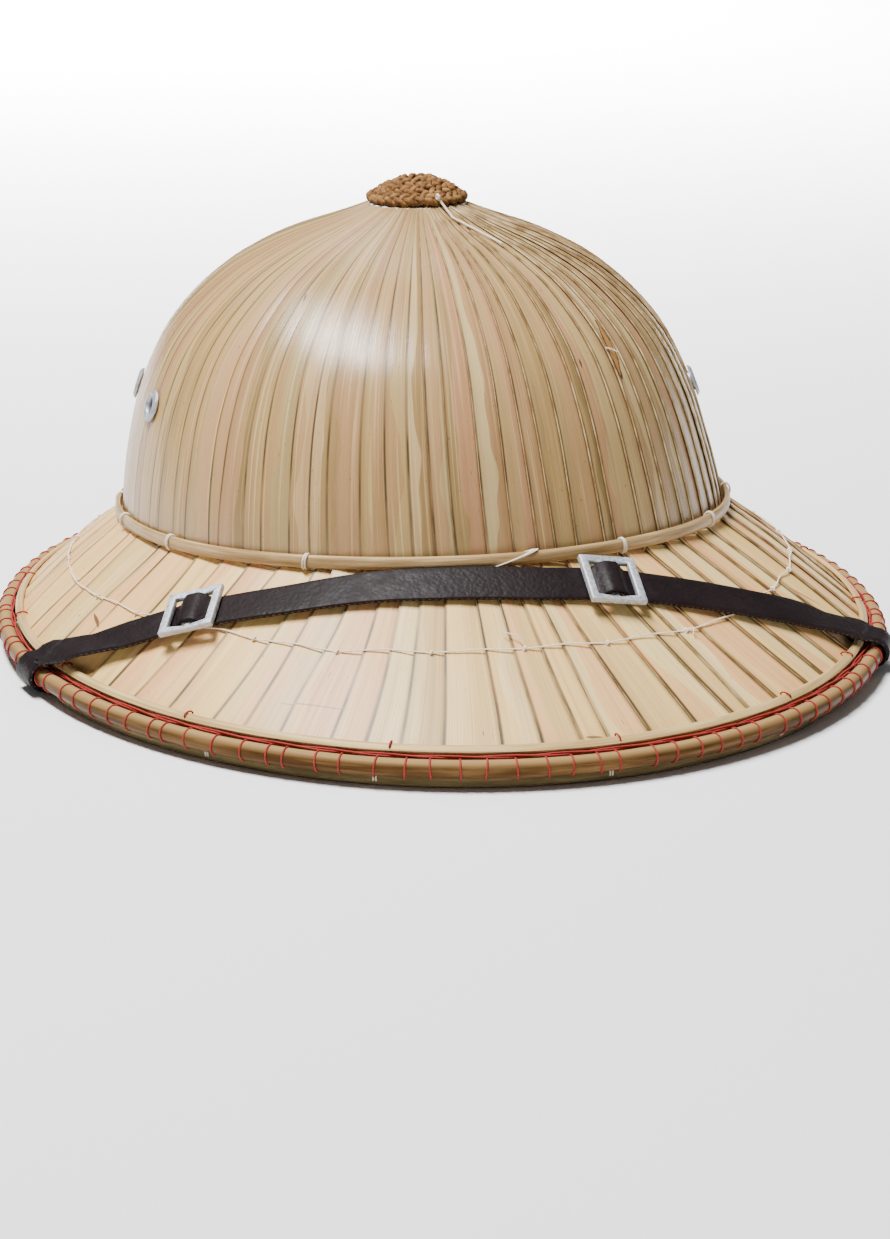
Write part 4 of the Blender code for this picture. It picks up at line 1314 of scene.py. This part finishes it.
strap_stitches = join_pieces(stitch_pieces, "strap_stitches")
smooth_shade(strap_stitches, 80)
strap_stitches.data.materials.append(thread_finish("strap_thread", (0.20, 0.10, 0.085), (0.08, 0.04, 0.034)))
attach(strap_stitches, "root")

# Buckles. Two cast slide buckles of pale alloy on the strap: a square frame over a lower centre bar.
# The casting is rough, with rounded arrises.
def buckle_frame(run):
    """A buckle's seat on the strap, and its ways along, across and out."""
    half = buckle_length / 2 - buckle_bar / 2
    before = strap_section(run - half, (0.0,), 0.0)[0][0]
    after = strap_section(run + half, (0.0,), 0.0)[0][0]
    edges = strap_section(run, strap_edges, 0.0)[0]
    along = unit(after - before)
    out = unit(np.cross(along, edges[1] - edges[0]))
    out = -out if out[2] < 0 else out
    across = unit(np.cross(out, along))
    return (before + after) / 2 + out * (strap_thickness / 2 + buckle_seat), along, across, out


def make_buckle(name, run):
    """A square frame with a centre bar, from a cube cut open, with its edges rounded."""
    window = strap_width + 0.0014
    width = window + 2 * buckle_bar
    bpy.ops.object.select_all(action="DESELECT")
    bpy.ops.mesh.primitive_cube_add(size=1.0)
    buckle = bpy.context.object
    buckle.name = name
    bpy.ops.object.mode_set(mode="EDIT")
    for axis, cuts in ((0, (-0.36, -0.055, 0.055, 0.36)), (1, (-0.36, 0.36))):
        for cut in cuts:
            bpy.ops.mesh.select_all(action="SELECT")
            point, normal = [0.0, 0.0, 0.0], [0.0, 0.0, 0.0]
            point[axis], normal[axis] = cut, 1.0
            bpy.ops.mesh.bisect(plane_co=point, plane_no=normal)
    for side in (-1, 1):
        bpy.ops.mesh.select_all(action="DESELECT")
        form = bmesh.from_edit_mesh(buckle.data)
        for face in form.faces:
            middle = face.calc_center_median()
            if abs(middle.z) > 0.4 and abs(middle.y) < 0.36 and 0.055 < side * middle.x < 0.36:
                face.select_set(True)
        bpy.ops.mesh.bridge_edge_loops()
    bpy.ops.object.mode_set(mode="OBJECT")
    points = mesh_points(buckle)
    stops_x = (-0.5, -0.36, -0.055, 0.055, 0.36, 0.5)
    half, clear = buckle_length / 2, buckle_length / 2 - buckle_bar
    real_x = (-half, -clear, -bar_half_width, bar_half_width, clear, half)
    real_y = (-width / 2, -window / 2, window / 2, width / 2)
    low = (np.abs(points[:, 0]) < 0.1) & (points[:, 2] > 0) & (np.abs(points[:, 1]) < 0.4)
    points[:, 0] = np.interp(points[:, 0], stops_x, real_x)
    points[:, 1] = np.interp(points[:, 1], (-0.5, -0.36, 0.36, 0.5), real_y)
    points[:, 2] = np.where(low, bar_thickness, (points[:, 2] + 0.5) * buckle_thickness)
    middle, along, across, out = buckle_frame(run)
    move_points(buckle, middle + points @ np.stack([along, across, out]))
    apply_modifier(
        buckle, "arris", "BEVEL",
        width=0.00045, segments=3, limit_method="ANGLE", angle_limit=math.radians(40),
    )
    smooth_shade(buckle, 40)
    return buckle


def cast_finish(name, pale, dark, roughness):
    """Cast alloy: dull silver with a pitted surface and darker hollows, and painted shade down inside an
    eyelet's hole.
    """
    material, tree, shader = finish_of(name, roughness, 0.55)
    place = add_node(tree, "ShaderNodeTexCoord").outputs["Object"]
    pits = noise(tree, place, scale=900.0, detail=4.0, roughness=0.7)
    cloud = noise(tree, place, scale=150.0, detail=3.0)
    color = mix(tree, spread(tree, pits, 0.35, 0.65, 0.0, 1.0), dark, pale)
    color = mix(tree, spread(tree, cloud, 0.5, 0.7, 0.0, 0.35), color, dark)
    # Painted shade: the inside of an eyelet's barrel is made nearly black, standing for the shade down the
    # hole.
    painted_hole_shade = add_node(tree, "ShaderNodeAttribute", attribute_name="painted_hole_shade").outputs["Fac"]
    color = mix(tree, calculate(tree, "MULTIPLY", painted_hole_shade, 0.9), color, (0.05, 0.05, 0.055))
    tree.links.new(color, shader.inputs["Base Color"])
    rough = spread(tree, pits, 0.3, 0.7, roughness - 0.1, roughness + 0.15)
    tree.links.new(rough, shader.inputs["Roughness"])
    bump = add_node(tree, "ShaderNodeBump", {"Height": pits, "Strength": 0.6, "Distance": 0.0003})
    tree.links.new(bump.outputs["Normal"], shader.inputs["Normal"])
    return material


buckle_finish = cast_finish("buckle_alloy", (0.62, 0.63, 0.66), (0.32, 0.33, 0.36), 0.5)
for node, run in zip(("buckle_left", "buckle_right"), buckle_runs):
    buckle = make_buckle("slide_" + node, run)
    buckle.data.materials.append(buckle_finish)
    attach(buckle, "root")
    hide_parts(node)

# Eyelets. Four rolled vent eyelets, two on each side, go through the leaf: a domed flange outside
# and a barrel that ends inside.
eyelet_flange = 0.0054
eyelet_sides = 36
eyelet_profile = (
    # radius, height over the leaf
    (vent_hole, -0.0028), (vent_hole, 0.0003), (vent_hole + 0.0003, 0.0011), (vent_hole + 0.0009, 0.0016),
    (vent_hole + 0.0016, 0.0016), (eyelet_flange - 0.0005, 0.0012), (eyelet_flange, 0.0006),
    (eyelet_flange - 0.0001, 0.0003), (vent_hole + 0.0007, 0.0003), (vent_hole + 0.0007, -0.0028),
)
eyelet_nodes = ("eyelet_left_front", "eyelet_left_rear", "eyelet_right_front", "eyelet_right_rear")
eyelet_finish = cast_finish("eyelet_metal", (0.52, 0.53, 0.56), (0.26, 0.27, 0.29), 0.45)
for node, (degrees, share) in zip(eyelet_nodes, vent_places):
    seat, ways = vent_ways(degrees, share)
    bpy.ops.object.select_all(action="DESELECT")
    bpy.ops.mesh.primitive_torus_add(
        major_segments=eyelet_sides, minor_segments=len(eyelet_profile), major_radius=1.0, minor_radius=0.2
    )
    eyelet = bpy.context.object
    eyelet.name = "rolled_" + node
    corners = np.arange(eyelet_sides * len(eyelet_profile))
    turns = 2 * math.pi * (corners // len(eyelet_profile)) / eyelet_sides
    radius, height = np.tile(eyelet_profile, (eyelet_sides, 1)).T
    shape = np.stack([radius * np.cos(turns), radius * np.sin(turns), height], axis=1)
    move_points(eyelet, seat + shape @ ways)
    inside = radius < vent_hole + 0.0004
    # Painted shade down the hole: the barrel's inside darkens towards its lower end.
    set_attribute(eyelet, "painted_hole_shade", np.clip((0.0009 - height) / 0.0008, 0, 1) * inside)
    bpy.ops.object.mode_set(mode="EDIT")
    bpy.ops.mesh.select_all(action="SELECT")
    bpy.ops.mesh.normals_make_consistent(inside=False)
    bpy.ops.object.mode_set(mode="OBJECT")
    smooth_shade(eyelet, 50)
    eyelet.data.materials.append(eyelet_finish)
    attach(eyelet, "root")
    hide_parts(node)

# Button. A plait of three straws is wound from the rim of the button inwards and upwards in three and
# a half turns, and sewn through the top of the crown with white thread, whose end lies on the leaf.
plait_period = 0.0106
plait_half_width = 0.00165
plait_half_height = 0.0007
straw_radius = 0.0011
button_sink = 0.0003
button_thread_radius = 0.0004
button_middle = np.array((top_aside, crown_back, crown_top - button_sink))
coil = (
    # turns from the outside, radius of the plait's middle, its height
    (0.00, 0.0143, 0.0018),
    (0.94, 0.0143, 0.0019),
    (1.10, 0.0112, 0.0039),
    (1.94, 0.0106, 0.0041),
    (2.10, 0.0068, 0.0057),
    (2.92, 0.0060, 0.0058),
    (3.20, 0.0024, 0.0057),
    (3.50, 0.0008, 0.0055),
)


def coil_point(turns):
    """The middle of the plait at some turns from the outside."""
    radius = smooth_curve([row[0] for row in coil], [row[1] for row in coil], turns)
    height = smooth_curve([row[0] for row in coil], [row[2] for row in coil], turns)
    angle = 2 * math.pi * turns
    return button_middle + np.array((radius * math.sin(angle), -radius * math.cos(angle), height))


coil_turns = np.linspace(0.0, coil[-1][0], 420)
coil_middles = np.array([coil_point(turns) for turns in coil_turns])
coil_lengths = np.concatenate([[0.0], np.cumsum(np.linalg.norm(np.diff(coil_middles, axis=0), axis=1))])
plait_lean = math.radians(30)
strand_pieces = []
for number in range(3):
    path = []
    for middle, length in zip(coil_middles, coil_lengths):
        phase = 2 * math.pi * (length / plait_period + number / 3)
        outward = unit((middle - button_middle) * np.array((1, 1, 0)))
        flat_way = outward * math.cos(plait_lean) - upright * math.sin(plait_lean)
        face_way = outward * math.sin(plait_lean) + upright * math.cos(plait_lean)
        sideways = flat_way * plait_half_width * math.sin(phase)
        path.append(middle + sideways + face_way * plait_half_height * math.sin(2 * phase))
    strand_pieces.append(thread_along("straw", path, straw_radius))
button = join_pieces(strand_pieces, "button_plait")
smooth_shade(button, 80)


def straw_finish():
    """Plaited straw: matt tan wisps with fine fibres, browner in the hollows."""
    material, tree, shader = finish_of("button_straw", 0.7)
    shader.inputs["Specular IOR Level"].default_value = 0.15
    place = add_node(tree, "ShaderNodeTexCoord").outputs["Object"]
    wisp = noise(tree, place, scale=420.0, detail=4.0, roughness=0.65)
    cloud = noise(tree, place, scale=160.0, detail=2.0)
    tones = ((0.32, (0.06, 0.025, 0.007)), (0.5, (0.165, 0.075, 0.022)), (0.68, (0.31, 0.165, 0.055)))
    color = ramp(tree, wisp, tones)
    color = mix(tree, spread(tree, cloud, 0.55, 0.75, 0.0, 0.45), color, (0.20, 0.07, 0.03))
    tree.links.new(color, shader.inputs["Base Color"])
    bump = add_node(tree, "ShaderNodeBump", {"Height": wisp, "Strength": 0.6, "Distance": 0.0003})
    tree.links.new(bump.outputs["Normal"], shader.inputs["Normal"])
    return material


sewing = [button_middle + np.array(way) for way in ((0.0042, -0.0152, 0.0030), (0.0052, -0.0160, 0.0014))]
sewing += over_crown(((20.0, 0.965), (27.0, 0.935), (31.0, 0.90)))
button_thread = thread_along("button_thread", sewing, button_thread_radius)
knot = thread_ring("button_knot", 0.0009, 0.0008, 0.0005, 12)
place_ring(knot, sewing[0], (0.25, -1.0, 0.0), upright)
button_thread = join_pieces([button_thread, knot], "button_thread")
smooth_shade(button_thread, 80)
button_thread.data.materials.append(white_finish)
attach(button_thread, "root")

button.data.materials.clear()
button.data.materials.append(straw_finish())
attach(button, "root")
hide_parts("top_button")

# Floor, light and camera. A pale floor under one soft light, high up and a little to the left, with a
# second light on the floor behind the hat, seen from where the photograph was taken.
bpy.ops.object.select_all(action="DESELECT")
bpy.ops.mesh.primitive_plane_add(size=12.0, location=(0.0, 0.0, -0.0002))
floor = bpy.context.object
floor.name = "floor"
floor_finish, _, floor_shader = finish_of("floor", 0.9)
floor_shader.inputs["Base Color"].default_value = (0.9, 0.9, 0.9, 1.0)
floor.data.materials.append(floor_finish)

world = bpy.data.worlds.new("studio")
world.use_nodes = True
world.node_tree.nodes["Background"].inputs["Color"].default_value = (1.0, 1.0, 1.0, 1.0)
world.node_tree.nodes["Background"].inputs["Strength"].default_value = 0.17
bpy.context.scene.world = world


def add_lamp(name, place, target, size, power, height=None, opening=180.0):
    """A soft light that faces a target: its width, its height if it isn't square, and how wide it shines."""
    bpy.ops.object.light_add(type="AREA", location=place)
    lamp = bpy.context.object
    lamp.name = name
    lamp.data.shape = "RECTANGLE"
    lamp.data.size = size
    lamp.data.size_y = height or size
    lamp.data.energy = power
    lamp.data.spread = math.radians(opening)
    way = Vector(target) - Vector(place)
    lamp.rotation_euler = way.to_track_quat("-Z", "Y").to_euler()


hat_middle = (0.0, 0.0, 0.06)
add_lamp("key", (-0.40, -0.12, 1.42), hat_middle, 0.75, 62.0, 0.28)
add_lamp("back", (0.2, 2.6, 2.2), (0.1, 2.1, 0.0), 1.6, 240.0, opening=60.0)

camera_distance = 1.1
camera_azimuth = math.radians(-10.0)
camera_elevation = math.radians(14.32)
aim = Vector((crown_aside, crown_back, 0.043))
back = Vector(
    (
        math.sin(camera_azimuth) * math.cos(camera_elevation),
        -math.cos(camera_azimuth) * math.cos(camera_elevation),
        math.sin(camera_elevation),
    )
)
bpy.ops.object.camera_add(location=aim + back * camera_distance)
camera = bpy.context.object
camera.rotation_euler = (-back).to_track_quat("-Z", "Y").to_euler()
camera.data.sensor_width = 36.0
camera.data.lens = 93.54
camera.data.shift_x = 0.0188
camera.data.shift_y = -0.101
bpy.context.scene.camera = camera
